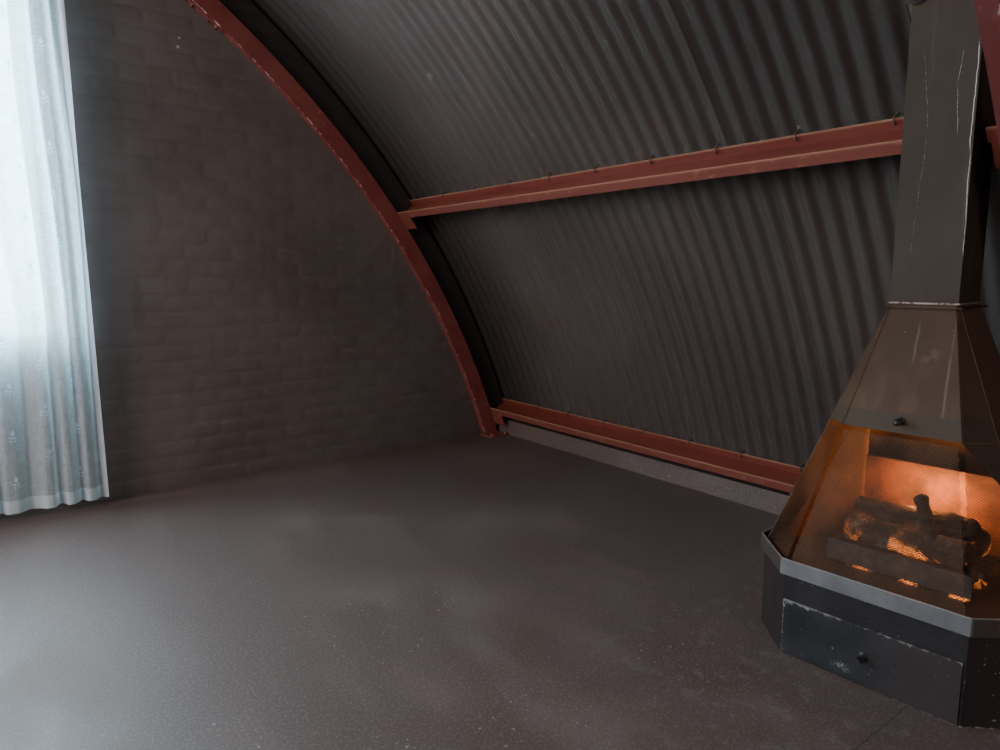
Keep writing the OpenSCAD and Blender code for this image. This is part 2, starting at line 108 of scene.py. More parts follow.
class Finish:
    """One material. Constants are set on its shader's sockets, and what varies over the surface is linked."""
    smallest_wave = 0.0025

    def __init__(self, name, constants, centre=(0, 0, 0), turn=0):
        self.material = bpy.data.materials.new(name)
        self.material.use_nodes = True
        self.tree = self.material.node_tree
        self.shader = self.tree.nodes["Principled BSDF"]
        self.fill(self.shader, constants)
        self.spot = self.node("TexCoord", {}, out="Object")
        if any(centre) or turn:
            self.spot = self.node("Mapping", {"Vector": self.spot, "Location": centre,
                                              "Rotation": (0, 0, radians(turn))}, vector_type="TEXTURE")
        self.x, self.y, self.z = (self.node("SeparateXYZ", {0: self.spot}, out=i) for i in range(3))

    def fill(self, node, values):
        """Links or sets a node's sockets; a colour of three numbers gets an alpha of 1."""
        for key, value in values.items():
            socket = node.inputs[key]
            if isinstance(value, Tone):
                self.tree.links.new(value.socket, socket)
            elif socket.type == "RGBA":
                socket.default_value = (*value, 1)
            else:
                socket.default_value = value

    def node(self, kind, values, out=0, **settings):
        """Adds a node: its settings first, then its sockets."""
        node = self.tree.nodes.new("ShaderNode" + kind)
        for setting, value in settings.items():
            setattr(node, setting, value)
        self.fill(node, values)
        return Tone(self, node.outputs[out])

    def noise(self, scale, detail=4, stretch=(1, 1, 1), rough=0.55, spot=None):
        """Smooth noise about 0.5, with scale waves to the metre, drawn out along an axis whose stretch is small. Each
        step of detail halves the waves, and the steps stop at the smallest wave that shows."""
        spot = spot or self.spot
        if stretch != (1, 1, 1):
            spot = self.node("VectorMath", {0: spot, 1: stretch}, operation="MULTIPLY")
        finest = float(np.log2(max(1 / (scale * self.smallest_wave), 2)))
        return self.node("TexNoise", {"Vector": spot, "Scale": scale, "Detail": min(detail, finest),
                                      "Roughness": rough})

    def flecks(self, scale, rarity):
        """Scattered round spots: 1 on the peaks of a smooth noise that rise above rarity."""
        return self.noise(scale, 0).step(rarity, rarity + 0.03)

    def mix(self, first, second, share):
        """The first colour where share is 0 and the second where it is 1."""
        return self.node("Mix", {0: share, 6: first, 7: second}, out=2, data_type="RGBA")

    def mottle(self, texture, dark, light, low, high, roughness, height):
        """Coats it with two colours mixed by one texture, whose slope and offset also give the roughness."""
        self.coat(self.mix(dark, light, texture.step(low, high)), texture * roughness[0] + roughness[1],
                  texture * height)

    def coat(self, colour, roughness, height, **others):
        """Links what varies: the colour, the roughness and a height in metres that the relief follows."""
        normal = self.node("Bump", {"Height": height, "Distance": 1.0, "Strength": 1.0})
        named = {socket.replace("_", " "): tone for socket, tone in others.items()}
        self.fill(self.shader, {"Base Color": colour, "Roughness": roughness, "Normal": normal, **named})


def finish_nodes(finish, *nodes):
    """Puts a finish on CAD nodes, through their material slots."""
    for node in nodes:
        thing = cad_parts[node]
        if not thing.material_slots:
            thing.data.materials.append(finish.material)
        for slot in thing.material_slots:
            slot.material = finish.material


floor_top = 0.100
joint_y, joint_half, joint_sway = -0.07, 0.0042, 0.016
ash_x, ash_reach, ash_end = 3.72, 0.45, 0.95
sealed_concrete = Finish("sealed_concrete", {"IOR": 1.45})
cloud = sealed_concrete.noise(1.1, 5)
trowel = sealed_concrete.noise(7, 6, stretch=(1, 0.35, 1))
grit = sealed_concrete.noise(130, 5)
worn = (cloud * 0.6 + trowel * 0.5).step(0.50, 0.72)
specks = sealed_concrete.flecks(80, 0.77) * sealed_concrete.noise(3.1, 2).step(0.50, 0.62)
sway = (sealed_concrete.noise(14, 2) - 0.5) * joint_sway
day_joint = (sealed_concrete.y + sway).near(joint_y, joint_half)
from_hearth = (abs(sealed_concrete.x - ash_x) ** 2 + abs(sealed_concrete.y) ** 2) ** 0.5
ash = sealed_concrete.noise(22, 3).step(0.52, 0.70) * from_hearth.step(ash_end, ash_reach)
colour = sealed_concrete.mix((0.075, 0.0495, 0.0445), (0.100, 0.070, 0.063), worn)
colour = colour.under((0.165, 0.140, 0.132), grit.step(0.48, 0.70) * 0.45)
colour = colour.under((0.30, 0.28, 0.26), specks * 0.6)
colour = colour.under((0.22, 0.205, 0.195), ash * 0.18)
colour = colour.under((0.022, 0.019, 0.018), day_joint * 0.75)
sealed_concrete.coat(colour, worn * 0.16 + specks * 0.2 + 0.52, trowel * 0.0012 + grit * 0.0003)
finish_nodes(sealed_concrete, "floor_slab")


# Ribs: three arches of rolled channel, each in two bent legs and two bent crown lengths, butted together with a
# splice plate bolted inside each joint. Each leg stands on a square foot plate held down by four anchors. They were
# painted dark red before they were raised, and the edges have rubbed through to pale primer and steel.
arch_z = -1.370
rib_inside, rib_outside = 4.8291, 4.9241
rib_first, rib_pitch, rib_width = 3.0072, 3.145, 0.045
rib_starts = [rib_first - i * rib_pitch for i in range(3)]
splice_angle = 52.6
plate_thick, plate_length, plate_clearance = 0.008, 0.150, 0.001
plate_middle = 0.0475
bolt_width, bolt_head, anchor_head = 0.019, 0.009, 0.010
anchor_across, anchor_along = [-0.056, 0.056], [0.019, 0.131]


def grid_faces(rows, columns, around=False):
    """Four-cornered faces between neighbours on a grid of points; around joins the last column to the first."""
    index = np.arange(rows * columns).reshape(rows, columns)
    if around:
        index = np.concatenate([index, index[:, :1]], 1)
    return np.stack([index[:-1, :-1], index[:-1, 1:], index[1:, 1:], index[1:, :-1]], -1).reshape(-1, 4)


def turned(profile, sides):
    """A closed solid of revolution about local z. Point = (radius cos a, radius sin a, height) for each (radius,
    height) of the profile, from the bottom up, and its two ends are flat faces."""
    radius, height = np.array(profile, float).T
    angle = np.arange(sides) * 2 * pi / sides
    points = np.stack([radius[:, None] * np.cos(angle), radius[:, None] * np.sin(angle),
                       height[:, None] + 0 * angle], -1).reshape(-1, 3)
    ends = np.stack([np.arange(sides)[::-1], np.arange(sides) + sides * (len(profile) - 1)])
    return points, [grid_faces(len(profile), sides, around=True), ends]


def stamp(shape, places, axes):
    """Copies of a small shape. Point = place + its local coordinates times that copy's three axes."""
    points, groups = shape
    places, axes = np.broadcast_arrays(np.asarray(places, float)[:, None, :], np.asarray(axes, float))
    copies = places[:, :1] + np.einsum("pk,nkj->npj", points, axes)
    first = np.arange(len(places))[:, None, None] * len(points)
    groups = groups if isinstance(groups, list) else [groups]
    return copies.reshape(-1, 3), [(first + group).reshape(-1, group.shape[1]) for group in groups]


def joined(*shapes):
    """Several shapes as one set of points with its faces."""
    shapes = [(points, groups if isinstance(groups, list) else [groups]) for points, groups in shapes]
    first = np.cumsum([0] + [len(points) for points, _ in shapes])
    faces = [group + start for (_, groups), start in zip(shapes, first) for group in groups]
    return np.concatenate([points for points, _ in shapes]), faces


def piece(name, shape, finish, body="hut", crisp=40):
    """Puts a shape into a mesh whose object sits at the origin. Edges sharper than crisp degrees stay sharp."""
    points, groups = shape
    groups = groups if isinstance(groups, list) else [groups]
    corners = np.concatenate([group.ravel() for group in groups])
    sizes = np.concatenate([np.full(len(group), group.shape[1]) for group in groups])
    mesh = bpy.data.meshes.new(name)
    mesh.vertices.add(len(points))
    mesh.vertices.foreach_set("co", np.asarray(points, np.float32).ravel())
    mesh.loops.add(len(corners))
    mesh.polygons.add(len(sizes))
    mesh.polygons.foreach_set("loop_start", (np.cumsum(sizes) - sizes).astype(np.int32))
    mesh.polygons.foreach_set("vertices", corners.astype(np.int32))
    mesh.polygons.foreach_set("use_smooth", np.ones(len(sizes), bool))
    mesh.update(calc_edges=True)
    mesh.set_sharp_from_angle(angle=radians(crisp))
    mesh.materials.append(finish.material)
    thing = bpy.data.objects.new(name, mesh)
    bpy.context.scene.collection.objects.link(thing)
    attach(thing, body)
    return thing


def on_arch(radius, angle, along, side=1):
    """Points about the arch's axis, which runs along the hut: x = side times radius times cos(angle), y = along and
    z = the axis' height plus radius times sin(angle). The angle is in degrees above the horizontal."""
    radius, angle, along = np.broadcast_arrays(radius, np.radians(angle), along)
    return np.stack([side * radius * np.cos(angle), along, arch_z + radius * np.sin(angle)], -1)


def arch_axes(angle, side=1):
    """Three axes at an angle on the arch: along the hut, uphill, and outwards, right-handed on either side."""
    angle = np.radians(np.asarray(angle, float))
    outwards = np.stack([side * np.cos(angle), 0 * angle, np.sin(angle)], -1)
    uphill = np.stack([-side * np.sin(angle), 0 * angle, np.cos(angle)], -1)
    return np.stack([np.cross(uphill, outwards), uphill, outwards], -2)


def hex_bolt(width, height):
    """A round washer with a six-sided chamfered bolt head on it, standing on local z = 0."""
    washer = turned([(0.72 * width, -0.001), (0.72 * width, 0.0016), (0.66 * width, 0.0022)], 16)
    head = turned([(0.577 * width, 0.002), (0.577 * width, 0.75 * height), (0.50 * width, height)], 6)
    shank = turned([(0.28 * width, 0.9 * height), (0.28 * width, 1.45 * height), (0.22 * width, 1.55 * height)], 10)
    return joined(washer, head, shank)


old_red = Finish("old_red_paint", {"IOR": 1.5, "Specular IOR Level": 0.3})
rise = old_red.z - arch_z
radius = (old_red.x * old_red.x + rise * rise) ** 0.5
across = (old_red.y - (rib_first - 4 * rib_pitch)) % rib_pitch
grime = old_red.noise(5, 5)
scabs = old_red.noise(42, 6)
fine = old_red.noise(240, 3)
low_edge = radius.near(rib_inside, 0.006) * across.near(0, 0.006)
edges = (radius.near(rib_inside, 0.004) + radius.near(rib_outside, 0.006) + across.near(0, 0.003)
         + across.near(rib_width, 0.003))
rubbed = (scabs + edges * 0.07 + grime * 0.06).step(0.70, 0.84)
bare = (scabs + low_edge * 0.25 + grime * 0.12 + fine * 0.05).step(0.83, 0.89)
colour = old_red.mix((0.150, 0.033, 0.030), (0.196, 0.050, 0.044), grime.step(0.30, 0.72))
colour = colour.under((0.30, 0.115, 0.092), rubbed * 0.5)
colour = colour.under((0.62, 0.55, 0.50), bare * 0.9)
# Painted shade: the ribs on the fire's side of the hut, away from the end wall, are painted darker.
rib_painted_shade = old_red.y.step(2.4, 1.6) * old_red.x.step(0, 2.5)
colour = colour.under((0.040, 0.009, 0.009), rib_painted_shade * 0.6)
old_red.coat(colour, grime * 0.2 + rubbed * 0.1 + 0.38, scabs * 0.00022)
finish_nodes(old_red, "rib_end", "rib_mid", "rib_front")

dark_bolts = Finish("painted_bolts", {"IOR": 1.5})
colour = dark_bolts.mix((0.085, 0.022, 0.016), (0.26, 0.17, 0.13), dark_bolts.noise(90, 4).step(0.5, 0.7))
dark_bolts.coat(colour, dark_bolts.noise(60, 3) * 0.3 + 0.35, dark_bolts.noise(400, 3) * 0.0002)

bolt_spread = np.array([-0.090, -0.045, 0.045, 0.090])
splice_bolts, anchors = [], []
foot_x = sqrt(rib_inside ** 2 - (floor_top - arch_z) ** 2) + plate_middle
plate_starts = [rib_starts[0] + rib_width - plate_length, rib_starts[1] + (rib_width - plate_length) / 2,
                hut_front + plate_clearance]
for side in (1, -1):
    for start, foot_y in zip(rib_starts, plate_starts):
        angle = np.append(splice_angle + np.degrees(bolt_spread / rib_inside),
                          90 - 1e-3 + np.degrees(bolt_spread[:2] / rib_inside))
        axes = arch_axes(angle, side) * np.array([1, -1, -1])[:, None]
        splice_bolts.append(stamp(hex_bolt(bolt_width, bolt_head),
                                  on_arch(rib_inside - plate_thick, angle, start + rib_width / 2, side), axes))
        corner_x, corner_y = np.meshgrid(anchor_across, anchor_along)
        places = np.stack([side * (foot_x + corner_x.ravel()), foot_y + corner_y.ravel(),
                           np.full(4, floor_top + 0.0003 + plate_thick)], -1)
        anchors.append(stamp(hex_bolt(bolt_width, anchor_head), places, np.eye(3)))
piece("rib_splice_bolts", joined(*splice_bolts), dark_bolts)
piece("foot_plate_anchors", joined(*anchors), dark_bolts)


# Purlins and low rails: channels laid along the hut on the ribs' backs, their webs facing downhill, each tied to
# every rib by an angle cleat with bolts. They wear the ribs' red primer, dusty on the upper toe and rubbed pale
# along the room's edge, and the flange that faces the room is painted lighter as painted light.
purlin_inside, purlin_depth, purlin_toe = 4.9244, 0.145, 0.041
purlin_angles = {"low_rail": 19.1, "mid_purlin": 35.8, "upper_purlin": 53.8667, "high_purlin": 71.9333, "crown": 90}
cleat_bolts_along, web_bolt_out, flat_bolt_down = (0.034, 0.116), 0.046, 0.044


def purlin_finish(name, angle):
    """The primer of one purlin. out and up are the distances from the arch's axis along and across its depth:
    out = |x| cos + rise sin and up = rise cos - |x| sin, which reads the same on both sides of the hut."""
    primer = Finish(name, {"IOR": 1.5, "Specular IOR Level": 0.3})
    rise = primer.z - arch_z
    out = abs(primer.x) * cos(radians(angle)) + rise * sin(radians(angle))
    up = rise * cos(radians(angle)) - abs(primer.x) * sin(radians(angle))
    streak = primer.noise(9, 5, stretch=(1, 0.12, 1))
    scabs = primer.noise(38, 6, stretch=(1, 0.6, 1))
    toe = up.step(0.032, 0.043)
    lit_room_flange = out.step(purlin_inside + 0.009, purlin_inside + 0.004)
    edge = out.near(purlin_inside, 0.005) + out.near(purlin_inside + purlin_depth, 0.005) + up.near(purlin_toe, 0.004)
    rubbed = (scabs + edge * 0.08 + streak * 0.10).step(0.70, 0.86)
    colour = primer.mix((0.115, 0.021, 0.014), (0.148, 0.031, 0.021), streak.step(0.30, 0.70))
    # Painted light: the flange that faces the room is painted lighter.
    colour = colour.under((0.152, 0.044, 0.032), lit_room_flange * (streak * 0.4 + 0.5))
    colour = colour.under((0.33, 0.175, 0.110), toe * (streak * 0.4 + 0.6))
    colour = colour.under((0.30, 0.130, 0.088), rubbed * 0.5)
    primer.coat(colour, streak * 0.2 + rubbed * 0.12 + 0.40, scabs * 0.0003)
    return primer


cleat_bolts = []
for name, angle in purlin_angles.items():
    primer = purlin_finish(name + "_primer", angle)
    sides = {"crown": [("crown_purlin", 1)]}.get(name, [(name + "_right", 1), (name + "_left", -1)])
    finish_nodes(primer, *[node for node, _ in sides])
    for _, side in sides:
        along_hut, uphill, outwards = arch_axes(angle, side)
        origin = on_arch(0, angle, 0, side)
        on_web = origin + outwards * (purlin_inside + web_bolt_out) - uphill * plate_thick
        on_flat = origin + outwards * (purlin_inside + plate_thick) - uphill * flat_bolt_down
        for start in plate_starts:
            for along in cleat_bolts_along:
                shift = np.array([0, start + along, 0])
                for place, axes in ((on_web, (along_hut, outwards, -uphill)), (on_flat, (along_hut, uphill, outwards))):
                    cleat_bolts.append(stamp(hex_bolt(bolt_width, bolt_head), [place + shift], [axes]))
piece("cleat_bolts", joined(*cleat_bolts), dark_bolts)


# End wall: stretcher-bond brickwork laid between two windows and up to the curved sheets, bagged and painted dark
# on both faces, so each brick shows as a low soft-edged pillow between shallow joints.
wall_inside, wall_outside = 3.0525, 3.2725
sheet_radius = 5.070
brick_length, brick_height, brick_joint = 0.222, 0.073, 0.010
windows = [(-2.180, -0.680), (0.680, 2.180)]
sill_z, head_z = 0.920, 2.520
inner_proud, outer_proud, under_sheets = 0.0012, 0.0034, 0.006
dice = np.random.default_rng(11)


def brick_places():
    """Corners (x0, x1, z0, z1) of every brick of one face: courses of equal height between floor, sill, head and
    crown, half-lapped, cut off at the windows' sides."""
    rows = [np.linspace(low, high, round((high - low) / (brick_height + brick_joint)) + 1)
            for low, high in ((floor_top, sill_z), (sill_z, head_z), (head_z, arch_z + sheet_radius))]
    low = np.concatenate([row[:-1] for row in rows])
    high = np.concatenate([row[1:] for row in rows])
    step = brick_length + brick_joint
    starts = np.arange(-21, 21) * step
    x0 = (starts[None, :] + (np.arange(len(low)) % 2 * step / 2)[:, None]).ravel()
    z0, z1 = np.repeat(low, len(starts)), np.repeat(high, len(starts))
    x1 = x0 + step
    beside = (z0 > sill_z - 0.01) & (z1 < head_z + 0.01)
    for left, right in windows:
        x1 = np.where(beside & (x0 < left) & (x1 > left), left + brick_joint / 2, x1)
        x0 = np.where(beside & (x0 < right) & (x1 > right), right - brick_joint / 2, x0)
        keep = ~(beside & (x0 >= left) & (x1 <= right))
        x0, x1, z0, z1, beside = (values[keep] for values in (x0, x1, z0, z1, beside))
    keep = (x1 - x0 > 0.05) & (np.hypot(np.minimum(abs(x0), abs(x1)), z0 - arch_z) < sheet_radius - 0.03)
    return np.stack([x0, x1, z0, z1], -1)[keep]


def brick_face(face, outwards, proud, u_places, v_places):
    """Pillows on one face of the wall, each a grid at the given u and v. Over u and v from -1 to 1 the height is
    proud times (1 - u to the 8th) times (1 - v to the 4th) to the power 0.7, less a sunk rim, and the outline's
    corners are rounded; points beyond the arch are drawn in to it."""
    x0, x1, z0, z1 = brick_places().T[:, :, None, None]
    u = np.array(u_places)[None, None, :]
    v = np.array(v_places)[None, :, None]
    count = len(x0)
    shape = (count, v.shape[1], u.shape[2])
    wobble = dice.normal(0, 1, (count, 4, 1, 1))
    half_x, half_z = (x1 - x0 - brick_joint) / 2, (z1 - z0 - brick_joint) / 2
    rounding = 1 - 0.10 * abs(v) ** 8 * 0.25
    x = (x0 + x1) / 2 + half_x * u * rounding + 0 * v
    z = (z0 + z1) / 2 + half_z * v * (1 - 0.08 * abs(u) ** 20) + wobble[:, 0] * 0.0010 + u * wobble[:, 1] * 0.0008
    height = ((1 - abs(u) ** 8) * (1 - abs(v) ** 4)) ** 0.7
    height = height * proud * (1 + wobble[:, 2] * 0.2 + u * wobble[:, 3] * 0.15) - 0.0003 * (1 - height)
    edge = np.sqrt(np.maximum((sheet_radius - under_sheets) ** 2 - (z - arch_z) ** 2, 0))
    x = np.clip(np.broadcast_to(x, shape), -edge, edge)
    top = np.sqrt((sheet_radius - under_sheets) ** 2 - x ** 2) + arch_z
    z = np.minimum(np.broadcast_to(z, shape), top)
    y = face + outwards * np.broadcast_to(height, shape)
    points = np.stack([x, y, z], -1).reshape(-1, 3)
    one = grid_faces(shape[1], shape[2])
    rim = np.concatenate([np.arange(shape[2]), np.arange(2, shape[1]) * shape[2] - 1,
                          np.arange(shape[1] * shape[2] - 1, shape[1] * shape[2] - shape[2] - 1, -1),
                          np.arange(shape[1] - 2, 0, -1) * shape[2]])
    faces = (np.arange(count)[:, None, None] * shape[1] * shape[2] + one).reshape(-1, 4)
    closing = (np.arange(count)[:, None] * shape[1] * shape[2] + rim[None, ::-1])
    groups = [faces, closing]
    return points, groups if outwards < 0 else [group[:, ::-1] for group in groups]


bagged_brick = Finish("bagged_painted_brick", {"IOR": 1.48})
patch = bagged_brick.noise(1.6, 5)
brushed = bagged_brick.noise(26, 6, stretch=(0.5, 1, 1.3))
chip_marks = 0
drips = bagged_brick.noise(14, 3, stretch=(1, 1, 0.10)).step(0.60, 0.72)
colour = bagged_brick.mix((0.076, 0.059, 0.056), (0.104, 0.084, 0.081), patch.step(0.30, 0.72))
colour = colour.under((0.125, 0.103, 0.098), brushed.step(0.50, 0.76) * 0.35)
colour = colour.under((0.046, 0.034, 0.031), drips * 0.3)
for chip_x, chip_z in ((2.826, 2.329), (2.818, 2.286)):
    spot = ((bagged_brick.x - chip_x) ** 2 + (bagged_brick.z - chip_z) ** 2) ** 0.5
    chip_marks = (spot + (brushed - 0.5) * 0.01).step(0.009, 0.005) + chip_marks
colour = colour.under((0.36, 0.33, 0.30), chip_marks.step(0.2, 0.8) * 0.8)
# Painted shade: the strip of wall behind the end rib, between it and the sheets, is painted near black.
from_axis = (bagged_brick.x * bagged_brick.x + (bagged_brick.z - arch_z) ** 2) ** 0.5
shade_behind_rib = (from_axis.step(rib_outside - 0.04, rib_outside + 0.01)
             * bagged_brick.y.step(wall_inside + 0.0475, wall_inside + 0.0175))
colour = colour.under((0.013, 0.010, 0.010), shade_behind_rib * 0.85)
bagged_brick.coat(colour, patch * 0.25 + brushed * 0.15 + 0.30, brushed * 0.0012)
finish_nodes(bagged_brick, "wall_base", "wall_pier_left", "wall_pier_centre", "wall_pier_right", "wall_gable")
inner_brick = brick_face(wall_inside, -1, inner_proud, [-1, -0.95, -0.84, -0.3, 0.3, 0.84, 0.95, 1],
                         [-1, -0.86, -0.60, 0, 0.60, 0.86, 1])
outer_brick = brick_face(wall_outside, 1, outer_proud, [-1, -0.95, -0.80, 0.80, 0.95, 1], [-1, -0.82, 0.82, 1])
piece("brick_faces_inside", inner_brick, bagged_brick)
piece("brick_faces_outside", outer_brick, bagged_brick)


# Sheets: corrugated iron at a 76.2 mm pitch, rolled to the arch's curve, in four courses a side that lap at the
# purlins. Each sheet is sixteen corrugations wide and laps the next one by its edge. They are painted dark inside
# and out, and the paint is rubbed on the crests. Pale marks in places are partly scrapes and partly painted
# highlights on small dents, and the inner face is painted darker as painted shade over the fire's side and by the end
# wall.
corrugation, corrugation_depth, sheet_thick, corrugations = 0.0762, 0.018, 0.0012, 87
first_crest = 0.0476
floor_angle = degrees(np.arcsin((floor_top + 0.0003 - arch_z) / sheet_radius))
course_angles = [floor_angle, 35.8, 53.8667, 71.9333, 90]
course_names = ["low", "mid", "upper", "crown"]
sheet_width = 16 * corrugation
flue_x, flue_y, flue_half = 4.0022, 0.0625, 0.0925
flashing_middle = 38


def closed_shell(inner, outer, faces):
    """Two matching surfaces closed into a shell by faces along every open edge. faces look outwards on outer."""
    count = len(inner)
    edges = np.concatenate([faces[:, [i, (i + 1) % 4]] for i in range(4)])
    open_edge = ~np.isin(edges[:, 0] * count + edges[:, 1], edges[:, 1] * count + edges[:, 0])
    rim = edges[open_edge]
    rim = np.column_stack([rim[:, 0], rim[:, 1], rim[:, 1] + count, rim[:, 0] + count])
    return np.concatenate([inner, outer]), [np.concatenate([faces[:, ::-1], faces + count, rim])]


def soft_noise(values, places):
    """Smooth curve through random values at whole places, by a raised cosine between neighbours."""
    low = np.floor(places).astype(int)
    share = (1 - np.cos(pi * (places - low))) / 2
    return values[low % len(values)] * (1 - share) + values[(low + 1) % len(values)] * share


def sheet_course(side, course, rows, fineness):
    """One course as a closed shell over the distance along the hut and the angle, with fineness points to a
    corrugation. Its inner radius is the arch's plus half the depth times (1 - cos of the way along the corrugation),
    plus a lift at every other sheet and at the lower end lap, plus slow waves of a millimetre or two. Under the
    flashing nothing rises above the plain corrugation."""
    low, high = course_angles[course], course_angles[course + 1]
    lap = np.degrees(0.055 / sheet_radius)
    edges = np.arange(hut_front + 0.35 + 0.11 * course, hut_back, sheet_width)
    along = np.linspace(hut_front + 0.0005, hut_back - 0.0005, corrugations * fineness + 1)
    along = np.concatenate([along, edges - 0.0006, edges + 0.0006])
    angle = np.linspace(low + (0 if course == 0 else -lap), high + (lap * 0.9 if course < 3 else 0), rows)
    has_flue = side > 0 and course == 1
    if has_flue:
        cut = np.degrees(np.arccos((flue_x + np.array([flue_half, -flue_half])) / (sheet_radius + 0.009)))
        angle = np.append(angle, cut)
        along = np.append(along, [flue_y - flue_half, flue_y + flue_half])
    angle, along = np.sort(angle), np.sort(along)
    y, a = np.meshgrid(along, angle)
    sheet = np.searchsorted(edges, y)
    way = (y - hut_front - corrugation / 8) / corrugation * 2 * pi
    waves = np.random.default_rng(40 + course + 4 * (side > 0))
    swell = soft_noise(waves.normal(0, 1, 31), y * 0.9 + 7) * soft_noise(waves.normal(0, 1, 31), a * 0.16 + 3)
    sway = soft_noise(waves.normal(0, 1, 61), y * 3.1 + 20) * np.sin(np.radians(a - low) * 9)
    lift = 0.0016 * (sheet % 2)
    if course:
        lift = lift + 0.0036 * np.clip((low + lap * 1.2 - a) / (lap * 0.8), 0, 1) ** 0.5
    middle = np.clip(np.minimum(a - low, high - a) / 2.2, 0, 1)
    if course == 3:
        middle = np.clip((a - low) / 2.2, 0, 1) * np.clip((high - a) / 1.0, 0, 1)
    radius = (sheet_radius + corrugation_depth / 2 * (1 - np.cos(way)) + lift
              + middle * np.clip(swell * 0.0011 + sway * 0.0006, -0.003, 0.003))
    if side > 0 and course < 2:
        under_flashing = (np.clip(8 - abs(y - flue_y) / 0.05, 0, 1)
                          * np.clip(6 - abs(a - flashing_middle) / 0.8, 0, 1))
        radius = radius - under_flashing * np.maximum(radius - sheet_radius - corrugation_depth - 0.0006 * course, 0)
    inner = on_arch(radius, a, y, side).reshape(-1, 3)
    outer = on_arch(radius + sheet_thick, a, y, side).reshape(-1, 3)
    faces = grid_faces(len(angle), len(along))[:, ::-1]
    if has_flue:
        centre = inner[faces].mean(1)
        in_hole = (abs(centre[:, 1] - flue_y) < flue_half) & (abs(centre[:, 0] - flue_x) < flue_half - 0.001)
        faces = faces[~in_hole]
    return closed_shell(inner, outer, faces if side > 0 else faces[:, ::-1])


def sheet_finish():
    """Dark paint over galvanised iron: slow clouds of dust, rubbed crests, rust and runs down the curve, painted
    shade on the inner face over the fire's side and by the end wall, and pale marks, partly scrapes and partly
    painted highlights on small dents, given as (angle, distance along, size, brightness)."""
    paint = Finish("dark_painted_iron", {"IOR": 1.5, "Specular IOR Level": 0.2})
    rise = paint.z - arch_z
    radius = (paint.x * paint.x + rise * rise) ** 0.5
    cloud = paint.noise(1.0, 5)
    dust = paint.noise(11, 6)
    runs = paint.noise(30, 4, stretch=(0.16, 1, 0.16))
    rusty = paint.noise(17, 5, stretch=(0.10, 1, 0.10)).step(0.52, 0.70) * cloud.step(0.40, 0.60)
    crest = radius.step(sheet_radius + 0.007, sheet_radius + 0.001)
    rubbed = (dust * 0.7 + crest * 0.12 + runs * 0.30).step(0.64, 0.78)
    colour = paint.mix((0.059, 0.046, 0.042), (0.079, 0.062, 0.057), cloud.step(0.32, 0.70))
    colour = colour.under((0.098, 0.083, 0.078), rubbed * 0.35)
    colour = colour.under((0.080, 0.050, 0.037), rusty * 0.45)
    colour = colour.under((0.040, 0.032, 0.029), runs.step(0.58, 0.76) * 0.35)
    # Painted shade on the inner face: darker over the fire's side of the vault, and darkest by the end wall.
    painted_shade_inside = (abs(paint.y - flue_y).step(1.75, 0.45) * (paint.z.step(1.0, 2.3) * 0.5 + 0.25)
             * paint.x.step(0, 2.5) + paint.y.step(2.20, 3.05) * 0.85)
    inside = paint.node("Attribute", {}, out="Fac", attribute_name="inside")
    colour = colour.under((0.014, 0.012, 0.011), painted_shade_inside * inside)
    # Pale marks, partly scrapes and partly painted highlights on small dents.
    scrapes_and_dent_glints = 0
    for angle, along, size, shine in ((43.1, 2.17, 0.030, 0.35), (39.4, 0.79, 0.018, 0.2), (45.6, 3.20, 0.008, 1.0),
                                      (38.7, 0.41, 0.016, 0.2), (31.1, 1.98, 0.026, 0.3), (26.6, 1.60, 0.020, 0.3)):
        place = on_arch(sheet_radius, angle, along)
        shift = paint.node("VectorMath", {0: paint.spot, 1: tuple(place)}, out="Value", operation="DISTANCE")
        scrapes_and_dent_glints = (shift + (dust - 0.5) * size * 4).step(size * 0.9, size * 0.3) * shine + scrapes_and_dent_glints
    colour = colour.under((0.34, 0.32, 0.30), paint.node("Clamp", {0: scrapes_and_dent_glints}) * 0.6)
    paint.coat(colour, cloud * 0.16 + dust * 0.14 + 0.42 - crest * 0.04, dust * 0.0005)
    return paint


dark_iron = sheet_finish()
for side, name in ((1, "right"), (-1, "left")):
    for course, part in enumerate(course_names):
        node = f"sheets_{name}_{part}"
        rows = 21 if side > 0 and course in (1, 2) else 11
        fineness = 10 if side > 0 and course < 3 else 8
        course_piece = piece("curved_" + node, sheet_course(side, course, rows, fineness), dark_iron,
                             crisp=50)
        count = len(course_piece.data.vertices)
        inner_half = course_piece.data.attributes.new("inside", "FLOAT", "POINT")
        inner_half.data.foreach_set("value", (np.arange(count) < count // 2).astype(np.float32))
        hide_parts(node)


# Hook bolts: bent rods that pass through every fourth crest and hook under the outer flange of each purlin, with a
# domed washer and a nut outside. Their hooks show inside as small bright dots above the purlins.
def tube(path, radius, sides=6):
    """A round bar along a path of points. Each ring is the path's point plus radius times (cos a first + sin a
    second), where first and second are the two directions square to the path there; its ends are closed."""
    path = np.asarray(path, float)
    ahead = np.gradient(path, axis=0)
    ahead /= np.linalg.norm(ahead, axis=1)[:, None]
    flat = np.linalg.svd(path - path.mean(0))[2][2]
    first = np.cross(ahead, flat)
    first /= np.maximum(np.linalg.norm(first, axis=1), 1e-9)[:, None]
    second = np.cross(ahead, first)
    angle = np.arange(sides) * 2 * pi / sides
    points = (path[:, None] + radius * (np.cos(angle)[None, :, None] * first[:, None]
                                        + np.sin(angle)[None, :, None] * second[:, None]))
    ends = np.stack([np.arange(sides)[::-1], np.arange(sides) + sides * (len(path) - 1)])
    return points.reshape(-1, 3), [grid_faces(len(path), sides, around=True), ends]


